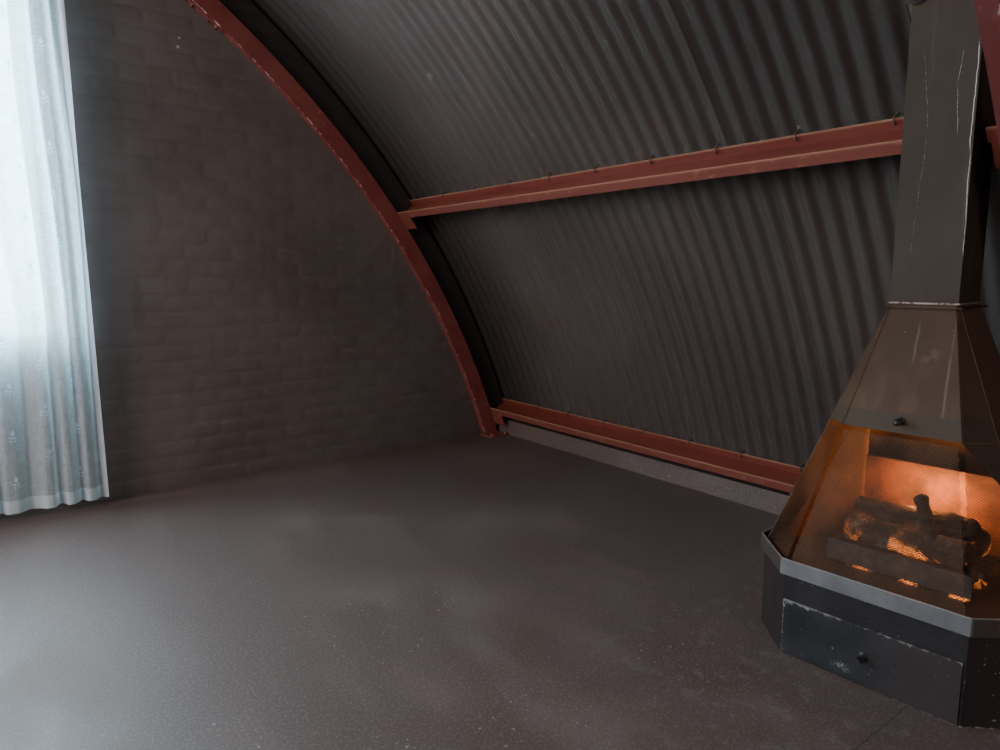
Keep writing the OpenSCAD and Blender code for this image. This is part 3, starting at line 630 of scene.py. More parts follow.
hook_reach, flue_clearance = 0.0475, 0.14
hook_bend = np.radians(np.linspace(0, 165, 6))
hook_path = np.concatenate([
    [[0, hook_reach, 0.042], [0, hook_reach, 0.0]],
    np.stack([0 * hook_bend, hook_reach - 0.011 * (1 - np.cos(hook_bend)), -0.006 - 0.0085 * np.sin(hook_bend)], -1),
    [[0, 0.0235, -0.0075]]])
hook = tube(hook_path, 0.003)
dome = turned([(0.016, 0.0), (0.013, 0.0035), (0.006, 0.005)], 12)
nut = turned([(0.0085, 0.005), (0.0085, 0.0105), (0.007, 0.0115)], 6)
cap = joined(dome, nut, turned([(0.003, 0.011), (0.003, 0.0165), (0.0022, 0.0175)], 8))
hooks = []
crests = hut_front + first_crest + corrugation * np.arange(2, corrugations - 1, 4)
for name, angle in purlin_angles.items():
    for side in (1,) if name == "crown" else (1, -1):
        axes = arch_axes(angle, side)
        clear = crests[crests < hut_back - 0.28]
        if side > 0 and name == "mid_purlin":
            clear = clear[abs(clear - flue_y) > flue_clearance]
        origin = on_arch(0, angle, clear, side) + axes[2] * (purlin_inside + purlin_depth)
        lean = np.degrees(hook_reach / (sheet_radius + corrugation_depth))
        outside = on_arch(sheet_radius + corrugation_depth + sheet_thick + 0.0012, angle + lean, clear, side)
        hooks += [stamp(hook, origin, axes), stamp(cap, outside, arch_axes(angle + lean, side))]
bright_hook = Finish("galvanised_hooks", {"Metallic": 0.6, "IOR": 1.5})
rusted = bright_hook.noise(70, 4).step(0.52, 0.62)
colour = bright_hook.mix((0.16, 0.125, 0.10), (0.085, 0.045, 0.030), rusted)
bright_hook.coat(colour, bright_hook.noise(120, 3) * 0.3 + 0.35, bright_hook.noise(500, 2) * 0.0001)
piece("hook_bolts", joined(*hooks), bright_hook)


# Windows: white-painted timber frames set back in the end wall, each with two mullions and a transom, glazed in
# clear glass that sits in putty against the bars.
white_gloss = Finish("white_gloss_paint", {"IOR": 1.5})
brush = white_gloss.noise(40, 5, stretch=(1, 1, 0.08))
colour = white_gloss.mix((0.62, 0.60, 0.55), (0.76, 0.75, 0.71), brush.step(0.35, 0.60))
colour = colour.under((0.42, 0.39, 0.34), white_gloss.noise(6, 5).step(0.62, 0.78) * 0.5)
white_gloss.coat(colour, brush * 0.2 + 0.22, brush * 0.0003)
finish_nodes(white_gloss, "window_frame_left", "window_frame_right")

clear_glass = Finish("clear_glass", {"IOR": 1.45, "Alpha": 0.13})
smear = clear_glass.noise(3.5, 4)
clear_glass.coat(clear_glass.mix((0.80, 0.86, 0.88), (0.90, 0.93, 0.94), smear), smear * 0.06 + 0.01, smear * 0.0004)
finish_nodes(clear_glass, "window_glass")


# Curtains: one width of sheer voile for each window, cut half as wide again as its rail, hemmed on all sides, drawn
# up on a heading tape and hung from the rail by brass rings. Small sprigs are embroidered on it in half-drop rows.
rail_y, rail_z, rail_radius = 2.9525, 2.600, 0.008
curtain_edges = (0.515, 2.345)
curtain_top, curtain_foot = 2.5905, 0.1430
cut_width, cut_drop = 2.75, 2.45
fold_count = 21
fold_reach, edge_gap = 0.0245, 0.006
side_hem, foot_hem, heading, stitch_half = 0.030, 0.060, 0.025, 0.0012
fold_noise = np.random.default_rng(5).normal(0, 1, (4, 64))


def cloth(across, down, swing):
    """Points of a gathered curtain for shares of its cut width and drop. With phase = 2 pi (folds times across +
    slow noise), x = edge + width times across + a little cos(phase), so the folds lean over their necks, and
    y = rail + swing times depth times sin(phase), where the depth grows from the heading tape down."""
    wander = (soft_noise(fold_noise[0], across * 9 + 3) * 0.42
              + soft_noise(fold_noise[1], across * 4 + down * 2.2) * 0.34)
    phase = 2 * pi * (fold_count * across + wander)
    depth = ((0.74 + 0.16 * soft_noise(fold_noise[2], across * fold_count * 0.9 + down * 1.3))
             * (0.55 + 0.45 * down ** 0.35))
    x = (curtain_edges[0] + edge_gap + (curtain_edges[1] - curtain_edges[0] - 2 * edge_gap) * across
         + 0.0055 * swing / 0.02 * np.cos(phase) * np.minimum(1, 8 * across * (1 - across) + 0.2) * depth
         + 0.010 * soft_noise(fold_noise[3], down * 2.5 + across * 3) * down * across * (1 - across) * 4)
    fold = swing * depth * (np.sin(phase) + 0.22 * np.sin(2.3 * phase + 5 * down))
    y = rail_y + np.clip(fold, -fold_reach, fold_reach)
    z = curtain_top + (curtain_foot - curtain_top) * down + 0 * x
    return np.stack([np.clip(x, *curtain_edges), y, z], -1)


low_swing, high_swing = 0.005, 0.060
for _ in range(24):
    swing = (low_swing + high_swing) / 2
    samples = cloth(np.linspace(0, 1, 900)[None, :], np.linspace(0.02, 1, 9)[:, None], swing)
    length = np.linalg.norm(np.diff(samples, axis=1), axis=2).sum(1).mean()
    low_swing, high_swing = (swing, high_swing) if length < cut_width else (low_swing, swing)


def cloth_normal(across, down):
    """The direction square to the cloth, from the cross product of its two slopes."""
    small = 0.0006
    ahead = cloth(across + small, down, swing) - cloth(across - small, down, swing)
    drop = cloth(across, down + small, swing) - cloth(across, down - small, swing)
    normal = np.cross(ahead, drop)
    return normal / np.linalg.norm(normal, axis=-1, keepdims=True)


def sprigs():
    """Leaves laid on the cloth. A leaf of length L at a turn has half width 0.21 L sin(pi t) at share t of its
    length; its outline is placed on the cut cloth in metres and carried to the folds by the cloth's own formula."""
    stems_x, stems_y = np.meshgrid(np.arange(0.13, cut_width - 0.1, 0.19), np.arange(0.12, cut_drop - 0.12, 0.21))
    stems_y = stems_y + 0.105 * (np.arange(stems_x.shape[1]) % 2)[None, :]
    turns = np.radians([90, 62, 118, 25, 155, 48, 132, -90])
    lengths = np.array([0.026, 0.021, 0.021, 0.019, 0.019, 0.015, 0.015, 0.040])
    starts = np.array([[0, 0.020], [0, 0.016], [0, 0.016], [0.001, 0.004], [-0.001, 0.004], [0.006, -0.012],
                       [-0.006, -0.012], [0, 0.018]])
    widths = np.array([0.21] * 7 + [0.018])
    t, w = np.array([0, 0.45, 1]), np.array([-1, 0, 1])
    reach = lengths[:, None, None] * t[None, :, None] + 0 * w
    half = (widths * lengths)[:, None, None] * (0.12 + np.sin(pi * np.clip(t, 0.02, 0.98)) ** 0.7)[None, :, None] * w
    along = np.stack([np.cos(turns), np.sin(turns)], -1)[:, None, None]
    beside = np.stack([-np.sin(turns), np.cos(turns)], -1)[:, None, None]
    leaf = starts[:, None, None] + reach[..., None] * along + half[..., None] * beside
    stems = np.stack([stems_x.ravel(), stems_y.ravel()], -1)
    lean = np.random.default_rng(9).normal(0, 0.16, len(stems))
    spin = np.stack([np.stack([np.cos(lean), -np.sin(lean)], -1), np.stack([np.sin(lean), np.cos(lean)], -1)], -2)
    flat = stems[:, None, None, None] + np.einsum("nij,lrcj->nlrci", spin, leaf) * np.array([1, -1])
    across, down = flat[..., 0] / cut_width, flat[..., 1] / cut_drop
    base, normal = cloth(across, down, swing), cloth_normal(across, down)
    toward = np.sign(normal[..., 1:2]) * -1
    inner, outer = ((base + toward * normal * gap).reshape(-1, 3) for gap in (0.0002, 0.0008))
    count = flat.shape[0] * flat.shape[1]
    faces = (np.arange(count)[:, None, None] * t.size * w.size + grid_faces(t.size, w.size)).reshape(-1, 4)
    one = outer[faces[0]]
    if np.cross(one[1] - one[0], one[2] - one[0])[1] > 0:
        faces = faces[:, ::-1]
    return closed_shell(inner, outer, faces)


voile = Finish("sheer_voile", {"Roughness": 0.8, "Sheen Weight": 0.3, "Sheen Roughness": 0.5, "IOR": 1.4})
weave_place = voile.node("UVMap", {}, uv_map="cloth")
warp = voile.noise(900, 2, stretch=(1, 0.02, 1), spot=weave_place)
weft = voile.noise(900, 2, stretch=(0.02, 1, 1), spot=weave_place)
place_x, place_y = (voile.node("SeparateXYZ", {0: weave_place}, out=i) for i in range(2))
hem, stitch = 0, 0
for place, line, inwards in ((place_x, side_hem, 1), (place_x, cut_width - side_hem, -1),
                             (place_y, cut_drop - foot_hem, -1), (place_y, heading, 1)):
    hem = place.step(line + inwards * 0.001, line - inwards * 0.001) + hem
    if line != heading:
        stitch = place.near(line, stitch_half) + stitch
hem = voile.node("Clamp", {0: hem})
threads = (warp + weft) * 0.5
# The hems are painted a darker grey-blue as painted shade, where the double cloth lets less light through.
voile.coat(voile.mix((0.80, 0.90, 0.98), (0.66, 0.71, 0.80), hem * 0.5), threads * 0.2 + 0.7,
           threads * 0.0004 + hem * 0.0003 - stitch * 0.0004)
see_through = (threads + hem * 0.16).step(0.38, 0.66) * 0.35 + 0.42 + hem * 0.25
seen_from_behind = voile.node("BsdfTranslucent", {"Color": (0.70, 0.92, 1.0)})
lit = voile.node("MixShader", {0: 0.55, 1: Tone(voile, voile.shader.outputs[0]), 2: seen_from_behind})
veil = voile.node("MixShader", {0: see_through, 1: voile.node("BsdfTransparent", {}), 2: lit})
voile.fill(voile.tree.nodes["Material Output"], {"Surface": veil})

sprig_thread = Finish("white_embroidery_thread", {"Sheen Weight": 0.3, "IOR": 1.4})
floss = sprig_thread.noise(700, 3)
sprig_thread.coat(sprig_thread.mix((0.70, 0.72, 0.80), (0.90, 0.91, 0.95), floss), floss * 0.2 + 0.6, floss * 0.0003)
thread_from_behind = sprig_thread.node("BsdfTranslucent", {"Color": (0.80, 0.94, 1.0)})
sprig_thread.fill(sprig_thread.tree.nodes["Material Output"], {"Surface": sprig_thread.node(
    "MixShader", {0: 0.72, 1: Tone(sprig_thread, sprig_thread.shader.outputs[0]), 2: thread_from_behind})})
ring_brass = Finish("dull_brass_rings", {"Metallic": 0.85, "IOR": 1.5})
tarnish = ring_brass.noise(120, 4)
ring_brass.coat(ring_brass.mix((0.45, 0.36, 0.22), (0.24, 0.19, 0.13), tarnish), tarnish * 0.3 + 0.25, tarnish * 0.0001)
rail_paint = Finish("satin_rail_paint", {"Metallic": 0.3, "IOR": 1.5})
scuff = rail_paint.noise(30, 5, stretch=(0.2, 1, 1))
rail_paint.coat(rail_paint.mix((0.36, 0.33, 0.29), (0.50, 0.47, 0.42), scuff), scuff * 0.3 + 0.28, scuff * 0.0001)
finish_nodes(rail_paint, "curtain_rails")

columns, rows = fold_count * 16 + 1, 60
grid_across, grid_down = np.meshgrid(np.linspace(0, 1, columns), np.linspace(0, 1, rows) ** 1.15)
cloth_points = cloth(grid_across, grid_down, swing).reshape(-1, 3)
cloth_faces = grid_faces(rows, columns)
cloth_places = np.stack([grid_across * cut_width, grid_down * cut_drop], -1).reshape(-1, 2)
sprig_points, sprig_faces = sprigs()
ring_middle, ring_wire = 0.0130, 0.0015
ring_sides, wire_sides = 20, 8
a, b = np.meshgrid(np.arange(ring_sides) * 2 * pi / ring_sides, np.arange(wire_sides) * 2 * pi / wire_sides,
                   indexing="ij")
ring_points = np.stack([ring_wire * np.sin(b), (ring_middle + ring_wire * np.cos(b)) * np.cos(a),
                        (ring_middle + ring_wire * np.cos(b)) * np.sin(a)], -1).reshape(-1, 3)
index = np.arange(ring_sides * wire_sides).reshape(ring_sides, wire_sides)
ring_faces = np.stack([index, np.roll(index, -1, 1), np.roll(np.roll(index, -1, 0), -1, 1), np.roll(index, -1, 0)],
                      -1).reshape(-1, 4)
ring_x = np.linspace(curtain_edges[0] + 0.02, curtain_edges[1] - 0.02, fold_count + 1)
ring_z = rail_z + rail_radius - (ring_middle - ring_wire)
for side, name in ((1, "right"), (-1, "left")):
    mirror = np.array([side, 1, 1])
    curtain = piece("voile_curtain_" + name, (cloth_points * mirror, cloth_faces[:, ::side]), voile,
                    crisp=70)
    layer = curtain.data.uv_layers.new(name="cloth")
    layer.data.foreach_set("uv", cloth_places[cloth_faces[:, ::side].ravel()].astype(np.float32).ravel())
    leaves = piece("embroidered_sprigs_" + name, (sprig_points * mirror, [face[:, ::side] for face in sprig_faces]),
                   sprig_thread, crisp=70)
    ring_places = np.stack([side * ring_x, rail_y + 0 * ring_x, ring_z + 0 * ring_x], -1)
    rings = piece("curtain_rings_" + name, stamp((ring_points, ring_faces), ring_places, np.eye(3)), ring_brass)
    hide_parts("curtain_" + name)


# Plinth: an eight-sided base of folded plate that stands on the floor, painted blue-black. Its plates meet in welded
# and dressed corners, where the paint has worn to a pale line, and ash drifts on its upper edge.
fire_origin, fire_turn = (flue_x, flue_y, floor_top), 3.4
plinth_front, plinth_corner = -0.300, 0.230
fire_axes = np.array([[cos(radians(fire_turn)), sin(radians(fire_turn)), 0],
                      [-sin(radians(fire_turn)), cos(radians(fire_turn)), 0], [0, 0, 1]])


def at_fire(points):
    """Carries points from the fireplace's own frame, with -x towards the room and z from the floor, to the hut's."""
    return np.asarray(points, float) @ fire_axes + fire_origin


def fire_finish(name, constants):
    """A finish whose x, y and z are those of the fireplace's own frame."""
    return Finish(name, constants, centre=fire_origin, turn=fire_turn)


blue_black = fire_finish("blue_black_paint", {"IOR": 1.5, "Specular IOR Level": 0.12})
soot = blue_black.noise(6, 5)
scabs = blue_black.noise(55, 6)
side_y = abs(blue_black.y)
on_front = blue_black.x.step(plinth_front + 0.010, plinth_front + 0.002)
arris = (side_y.near(plinth_corner, 0.004) * on_front * 0.5
         + blue_black.z.near(0.001, 0.012) * blue_black.y.step(0.02, -0.08) * 1.6)
drops = blue_black.flecks(160, 0.78) * blue_black.noise(6, 2).step(0.56, 0.66)
smudge = blue_black.noise(11, 6, stretch=(1, 1, 0.5)).step(0.50, 0.78)
rubbed = (scabs + arris * 0.16).step(0.69, 0.80)
colour = blue_black.mix((0.022, 0.0155, 0.016), (0.0145, 0.0128, 0.0150), on_front)
colour = colour.under((0.0200, 0.0175, 0.0200), soot.step(0.35, 0.70) * on_front)
colour = colour.under((0.064, 0.064, 0.068), smudge * 0.25)
colour = colour.under((0.30, 0.29, 0.28), rubbed * 0.6)
colour = colour.under((0.42, 0.41, 0.40), drops * 0.6)
blue_black.coat(colour, soot * 0.2 + smudge * 0.2 + 0.40, scabs * 0.0002)
finish_nodes(blue_black, "plinth")


# Ash drawer: a folded tray behind a thick front plate, pulled out by a turned knob. The front's edges are rubbed
# bright, most of all along the top.
drawer_half, drawer_low, drawer_high = 0.224, 0.0046, 0.1646
drawer_face = -0.3053
knob_axes = np.array([[0, 1, 0], [0, 0, 1], [-1, 0, 0]])
knob_z = (drawer_low + drawer_high) / 2


def knob_turning(length, waist, ball):
    """A knob's profile: a flared foot, a waist, and a ball of the given radius, whose points are its middle plus
    ball times (cos, sin)."""
    arc = np.radians(np.linspace(-62, 84, 12))
    middle = length - ball
    head = [(ball * cos(angle), middle + ball * sin(angle)) for angle in arc]
    return turned([(waist * 2.1, -0.001), (waist * 2.1, 0.002), (waist * 1.4, 0.005), (waist, 0.009)] + head, 28)


drawer_paint = fire_finish("drawer_front_paint", {"IOR": 1.5, "Specular IOR Level": 0.2})
scabs = drawer_paint.noise(70, 6)
soot = drawer_paint.noise(7, 5)
side_y = abs(drawer_paint.y)
to_left = drawer_paint.y.step(0.02, 0.20)
rim = (drawer_paint.z.near(drawer_high, 0.006) + side_y.near(drawer_half, 0.003) * 0.8
       + drawer_paint.z.near(drawer_high, 0.020) * (to_left * 0.8 + 0.35)
       + drawer_paint.y.near(drawer_half, 0.022) * 0.9
       + drawer_paint.z.near(drawer_low, 0.004) * 0.6)
rubbed = (scabs + rim * 0.20).step(0.68, 0.88)
on_face = drawer_paint.x.step(drawer_face + 0.0045, drawer_face + 0.0020)
off_y, off_z = drawer_paint.y - 0.056, drawer_paint.z - 0.033
from_scuff = ((off_y * 0.42) ** 2 + (off_z - off_y * 0.20) ** 2) ** 0.5
scuff = (from_scuff + (scabs - 0.5) * 0.030).step(0.012, 0.006)
for mark_y, mark_z, size in ((0.079, 0.075, 0.0030), (-0.017, 0.041, 0.0040), (-0.070, 0.051, 0.0032),
                             (0.150, 0.120, 0.0022)):
    away = ((drawer_paint.y - mark_y) ** 2 + (drawer_paint.z - mark_z) ** 2) ** 0.5
    scuff = scuff + (away + (scabs - 0.5) * 0.006).step(size, size * 0.5)
colour = drawer_paint.mix((0.0110, 0.0118, 0.0150), (0.0200, 0.0198, 0.0236), soot.step(0.32, 0.68))
colour = colour.under((0.030, 0.022, 0.024), drawer_paint.y.step(0.06, -0.16) * 0.8)
colour = colour.under((0.22, 0.21, 0.20), rubbed * 0.75)
broken_up = drawer_paint.noise(170, 8).step(0.40, 0.68)
scuffed = drawer_paint.node("Clamp", {0: scuff}) * on_face * broken_up
colour = colour.under((0.30, 0.29, 0.29), scuffed * 0.5)
drawer_paint.coat(colour, soot * 0.25 + rubbed * 0.1 + 0.34, scabs * 0.0002)
finish_nodes(drawer_paint, "ash_drawer")
black_knob = fire_finish("handled_black_steel", {"Metallic": 0.4, "IOR": 1.5})
black_knob.mottle(black_knob.noise(160, 4), (0.016, 0.013, 0.012), (0.060, 0.048, 0.042), 0.5, 0.7, (0.3, 0.3), 0.0001)
points, groups = knob_turning(0.0355, 0.0056, 0.0105)
piece("drawer_knob", (at_fire(points @ knob_axes + [drawer_face, 0, knob_z]), groups), black_knob,
      body="ash_drawer")


# Hearth tray: a shallow pan with an upright rim that rests on the plinth, painted pale grey-blue; its folded lip is
# rubbed to bright steel and its corners are soldered. All but its front face is painted dark brown as painted shade.
hearth_z, rim_top = 0.2446, 0.287
rim_front, pan_reach, pan_side, pan_corner = -0.309, 0.307, 0.368, 0.540
pale_tray = fire_finish("pale_grey_tray_paint", {"IOR": 1.5})
soot = pale_tray.noise(9, 5)
scabs = pale_tray.noise(70, 6)
brushed = pale_tray.noise(160, 3, stretch=(0.3, 0.3, 1))
lip = pale_tray.z.near(rim_top, 0.004)
in_pan = 1
for reach, limit in ((abs(pale_tray.x), pan_reach), (abs(pale_tray.y), pan_side),
                     (abs(pale_tray.x) + abs(pale_tray.y), pan_corner)):
    in_pan = reach.step(limit, limit - 0.003) * in_pan
on_front = pale_tray.x.step(rim_front + 0.003, rim_front)
colour = pale_tray.mix((0.074, 0.074, 0.081), (0.112, 0.112, 0.121), soot.step(0.32, 0.68))
# Painted shade: every face but the front is painted dark brown.
colour = pale_tray.mix((0.034, 0.022, 0.018), colour, on_front * 0.96 + 0.04)
colour = colour.under((0.060, 0.050, 0.048), scabs.step(0.56, 0.72) * 0.5)
colour = colour.under((0.40, 0.40, 0.42), lip * (brushed * 0.4 + 0.10))
colour = colour.under((0.085, 0.042, 0.024), in_pan * 0.9)
pale_tray.coat(colour, soot * 0.3 + 0.34 - lip * 0.05, scabs * 0.0002 + brushed * 0.0001)
finish_nodes(pale_tray, "hearth_tray")


# Liner and grate: a low cast plate stands behind the fire with a splayed plate on each side of it, and a grate of
# bars with an upright front plate carries the logs. Heat has turned the liner from black to rust. The splayed side
# plates are painted darker as painted shade, and the low back is given a faint glow as painted firelight.
hot_iron = fire_finish("heat_rusted_iron", {"IOR": 1.5, "Emission Strength": 1.0})
rust = hot_iron.noise(14, 6)
pits = hot_iron.noise(150, 5)
# Painted firelight: a faint glow on the low back.
painted_glow = hot_iron.z.step(0.52, 0.27) * rust.step(0.35, 0.65)
colour = hot_iron.mix((0.060, 0.026, 0.014), (0.200, 0.078, 0.034), rust.step(0.32, 0.70))
# Painted shade: the splayed side plates are darker.
shaded_side_plates = abs(hot_iron.y).step(0.192, 0.206)
colour = colour.under((0.030, 0.014, 0.010), shaded_side_plates * (rust * 0.5 + 0.65))
hot_iron.coat(colour, pits * 0.3 + 0.55, pits * 0.0006 + rust * 0.0008,
              Emission_Color=hot_iron.mix((0, 0, 0), (0.10, 0.016, 0.002), painted_glow * 0.6))
finish_nodes(hot_iron, "fire_back")
sooty_iron = fire_finish("sooty_grate_iron", {"IOR": 1.5})
soot = sooty_iron.noise(30, 5)
edge_wear = sooty_iron.z.near(0.331, 0.006)
colour = sooty_iron.mix((0.030, 0.020, 0.017), (0.075, 0.048, 0.038), soot.step(0.36, 0.66))
colour = colour.under((0.34, 0.15, 0.07), edge_wear * soot.step(0.40, 0.55) * 0.7)
sooty_iron.coat(colour, soot * 0.3 + 0.5, soot * 0.0006)
finish_nodes(sooty_iron, "fire_grate")


# Logs and embers: three split and charred logs, cracked into blocks across the grain, with broken pieces leaning on
# them over a bed of embers, and fire still glows in the cracks.
char_noise = np.random.default_rng(21)
log_rings, log_sides = 56, 44
block_length, blocks_around = 0.021, 9
bed_rows, bed_columns = 44, 64


def charred_log(start, end, thick, seed):
    """A log between two points of the fireplace's frame. Its radius = thick times (1 + uneven growth round it +
    blocks between cracks), where a block's edge falls off as a steep power near each crack line, and its ends are
    rounded by the fourth root of the distance from the end."""
    waves = np.random.default_rng(seed)
    start, end = np.array(start, float), np.array(end, float)
    t, around = np.linspace(0, 1, log_rings)[:, None], np.arange(log_sides)[None, :] / log_sides
    length = np.linalg.norm(end - start)
    growth = (0.10 * soft_noise(waves.normal(0, 1, 7), around * 7) * (1 - 0.3 * t)
              + 0.05 * soft_noise(waves.normal(0, 1, 17), t * 9))
    stagger = 0.30 * soft_noise(waves.normal(0, 1, 11), around * 11)
    cells = t * length / block_length + stagger
    ring_crack = abs(np.mod(cells, 1) - 0.5) * 2
    row = np.floor(cells)
    long_crack = abs(np.mod(around * blocks_around + 0.37 * row, 1) - 0.5) * 2
    crack = -0.085 * (ring_crack ** 9 + long_crack ** 11)
    rounded = np.clip(4 * np.minimum(t, 1 - t) * length / thick / 2, 0.02, 1) ** 0.25
    reach = thick * (1 + growth + crack) * rounded
    ahead = (end - start) / length
    beside = np.cross(ahead, [0.1, 0.2, 1.0])
    beside /= np.linalg.norm(beside)
    above = np.cross(ahead, beside)
    bend = 0.06 * thick * np.sin(pi * t) * waves.normal()
    middle = start + (end - start) * t + bend * above
    angle = 2 * pi * around
    points = middle[:, None] + reach[..., None] * (np.cos(angle)[..., None] * beside + np.sin(angle)[..., None] * above)
    ends = np.stack([np.arange(log_sides)[::-1], np.arange(log_sides) + log_sides * (log_rings - 1)])
    return at_fire(points.reshape(-1, 3)), [grid_faces(log_rings, log_sides, around=True), ends]


def ember_bed(middle_x, half_x, half_y, low, high):
    """A heap of embers as a closed shell over a rectangle: height = low + (high - low) times (1 - u^4)(1 - v^4)
    times (0.6 + lumps), where the lumps are two layers of soft noise."""
    u, v = np.meshgrid(np.linspace(-1, 1, bed_rows), np.linspace(-1, 1, bed_columns), indexing="ij")
    lump_heights, lump_shift = (char_noise.normal(0, 1, count) for count in (41, 23))
    crumb_heights, crumb_shift = (char_noise.normal(0, 1, count) for count in (61, 37))
    lumps = soft_noise(lump_heights, u * 9 + 3 * soft_noise(lump_shift, v * 6 + 8) + 12)
    crumbs = soft_noise(crumb_heights, v * 21 + 4 * soft_noise(crumb_shift, u * 13 + 15) + 30)
    fall = np.maximum((1 - u ** 4) * (1 - v ** 4), 0)
    z = low + (high - low) * fall * np.clip(0.62 + 0.14 * lumps + 0.12 * crumbs, 0.1, 1)
    top = np.stack([middle_x + half_x * u, half_y * v, z], -1).reshape(-1, 3)
    under = top.copy()
    under[:, 2] = low - 0.0002
    faces = grid_faces(bed_rows, bed_columns)
    return at_fire_shell(under, top, faces[:, ::-1])


def at_fire_shell(inner, outer, faces):
    """A closed shell between two surfaces of the fireplace's frame, its outer faces turned upwards."""
    one = outer[faces[len(faces) // 2]]
    if np.cross(one[1] - one[0], one[2] - one[0])[2] < 0:
        faces = faces[:, ::-1]
    points, groups = closed_shell(inner, outer, faces)
    return at_fire(points), groups


glowing_char = fire_finish("charred_wood_and_embers", {"Emission Strength": 5.0, "IOR": 1.4})
grain = glowing_char.noise(34, 6, stretch=(1, 0.25, 1))
ash_film = glowing_char.noise(20, 6)
wiggle = glowing_char.node("TexNoise", {"Vector": glowing_char.spot, "Scale": 60, "Detail": 3}, out="Color")
bent = glowing_char.node("VectorMath", {0: glowing_char.spot, 1: wiggle, 2: (0.018, 0.018, 0.018)},
                         operation="MULTIPLY_ADD")
cracks = glowing_char.node("TexVoronoi", {"Vector": bent, "Scale": 62}, feature="DISTANCE_TO_EDGE")
heat = glowing_char.noise(13, 4).step(0.50, 0.68) * glowing_char.z.step(0.40, 0.29)
in_cracks = (cracks + (grain - 0.5) * 0.10).step(0.13, 0.01) * heat
colour = glowing_char.mix((0.018, 0.012, 0.010), (0.060, 0.036, 0.026), grain.step(0.4, 0.65))
colour = colour.under((0.26, 0.22, 0.20), ash_film.step(0.52, 0.72) * 0.55)
glowing_char.coat(colour, grain * 0.2 + 0.7, grain * 0.0020 + cracks.step(0.0, 0.10) * 0.0015,
                  Emission_Color=glowing_char.mix((0, 0, 0), (1.0, 0.24, 0.035), in_cracks))
log_x, log_z, log_radius = -0.00425, 0.3439, 0.039
logs = [charred_log(np.add(start, (log_x, 0, log_z)), np.add(end, (log_x, 0, log_z)), thick, seed + 1)
        for seed, (start, end, thick) in enumerate((
            ((-0.0624, -0.168, 0), (-0.0624, 0.166, 0), log_radius),
            ((0.0624, 0.160, 0), (0.0624, -0.166, 0), log_radius),
            ((0.012, -0.155, 0.049), (-0.010, 0.163, 0.047), log_radius * 0.94),
            ((-0.085, -0.075, 0.016), (-0.010, -0.010, 0.125), 0.018),
            ((-0.088, 0.110, 0.012), (-0.070, 0.005, 0.034), 0.015)))]
char = piece("charred_logs", joined(*logs), glowing_char, crisp=60)
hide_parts("fire_logs")
piece("ember_bed", joined(ember_bed(-0.010, 0.118, 0.176, hearth_z + 0.0005, hearth_z + 0.044)), glowing_char,
      crisp=60)


# Hood: eight plates that lean in from the hearth to the flue, welded along their hips, with the front three cut away
# for the screen. A knob on the front works the damper. Heat and handling have browned the black paint. Its right-hand
# faces are painted darker as painted shade, and its right side plate a lighter brown as painted light.
hood_base, hood_top, screen_top = 0.2446, 1.005, 0.670
base_length, base_width, base_chamfer = 0.612, 0.734, 0.1345
flue_width, hood_thick = 0.165, 0.003


def hood_corner(which, z, outwards=0.0):
    """Corner of the hood at a height, in the fireplace's frame: 0 and 1 are the front plate's and the chamfer's far
    corner on the +y side, 2 and 3 the same at the back. Lengths run in a straight line from base to flue."""
    share = (np.asarray(z, float) - hood_base) / (hood_top - hood_base)
    half_x = (base_length + (flue_width - base_length) * share) / 2 + outwards
    half_y = (base_width + (flue_width - base_width) * share) / 2 + outwards
    chamfer = base_chamfer + (2 * hood_thick - base_chamfer) * share
    x = [-half_x, chamfer - half_x, half_x, half_x - chamfer][which]
    y = [half_y - chamfer, half_y, half_y - chamfer, half_y][which]
    return np.stack([x, y, np.asarray(z, float) + 0 * half_x], -1)


browned = fire_finish("heat_browned_paint", {"IOR": 1.5, "Specular IOR Level": 0.12})
cloud = browned.noise(4.5, 5)
scabs = browned.noise(48, 6)
wipe = browned.noise(20, 5, stretch=(1, 1, 0.16))
hot = browned.z.step(0.95, 0.66)
lower_edge = browned.z.near(screen_top, 0.006)
band = (browned.z + browned.y * 0.03 + (wipe - 0.5) * 0.004).step(0.724, 0.720)
facing_room = browned.x.step(-0.070, -0.080)
rubbed = (scabs + lower_edge * 0.06).step(0.72, 0.82)
colour = browned.mix((0.041, 0.0215, 0.0130), (0.058, 0.0315, 0.0200), cloud.step(0.30, 0.70))
colour = colour.under((0.096, 0.055, 0.034), hot * wipe.step(0.40, 0.70) * 0.6)
colour = colour.under((0.042, 0.031, 0.024), band * (scabs * 0.8 + 0.35))
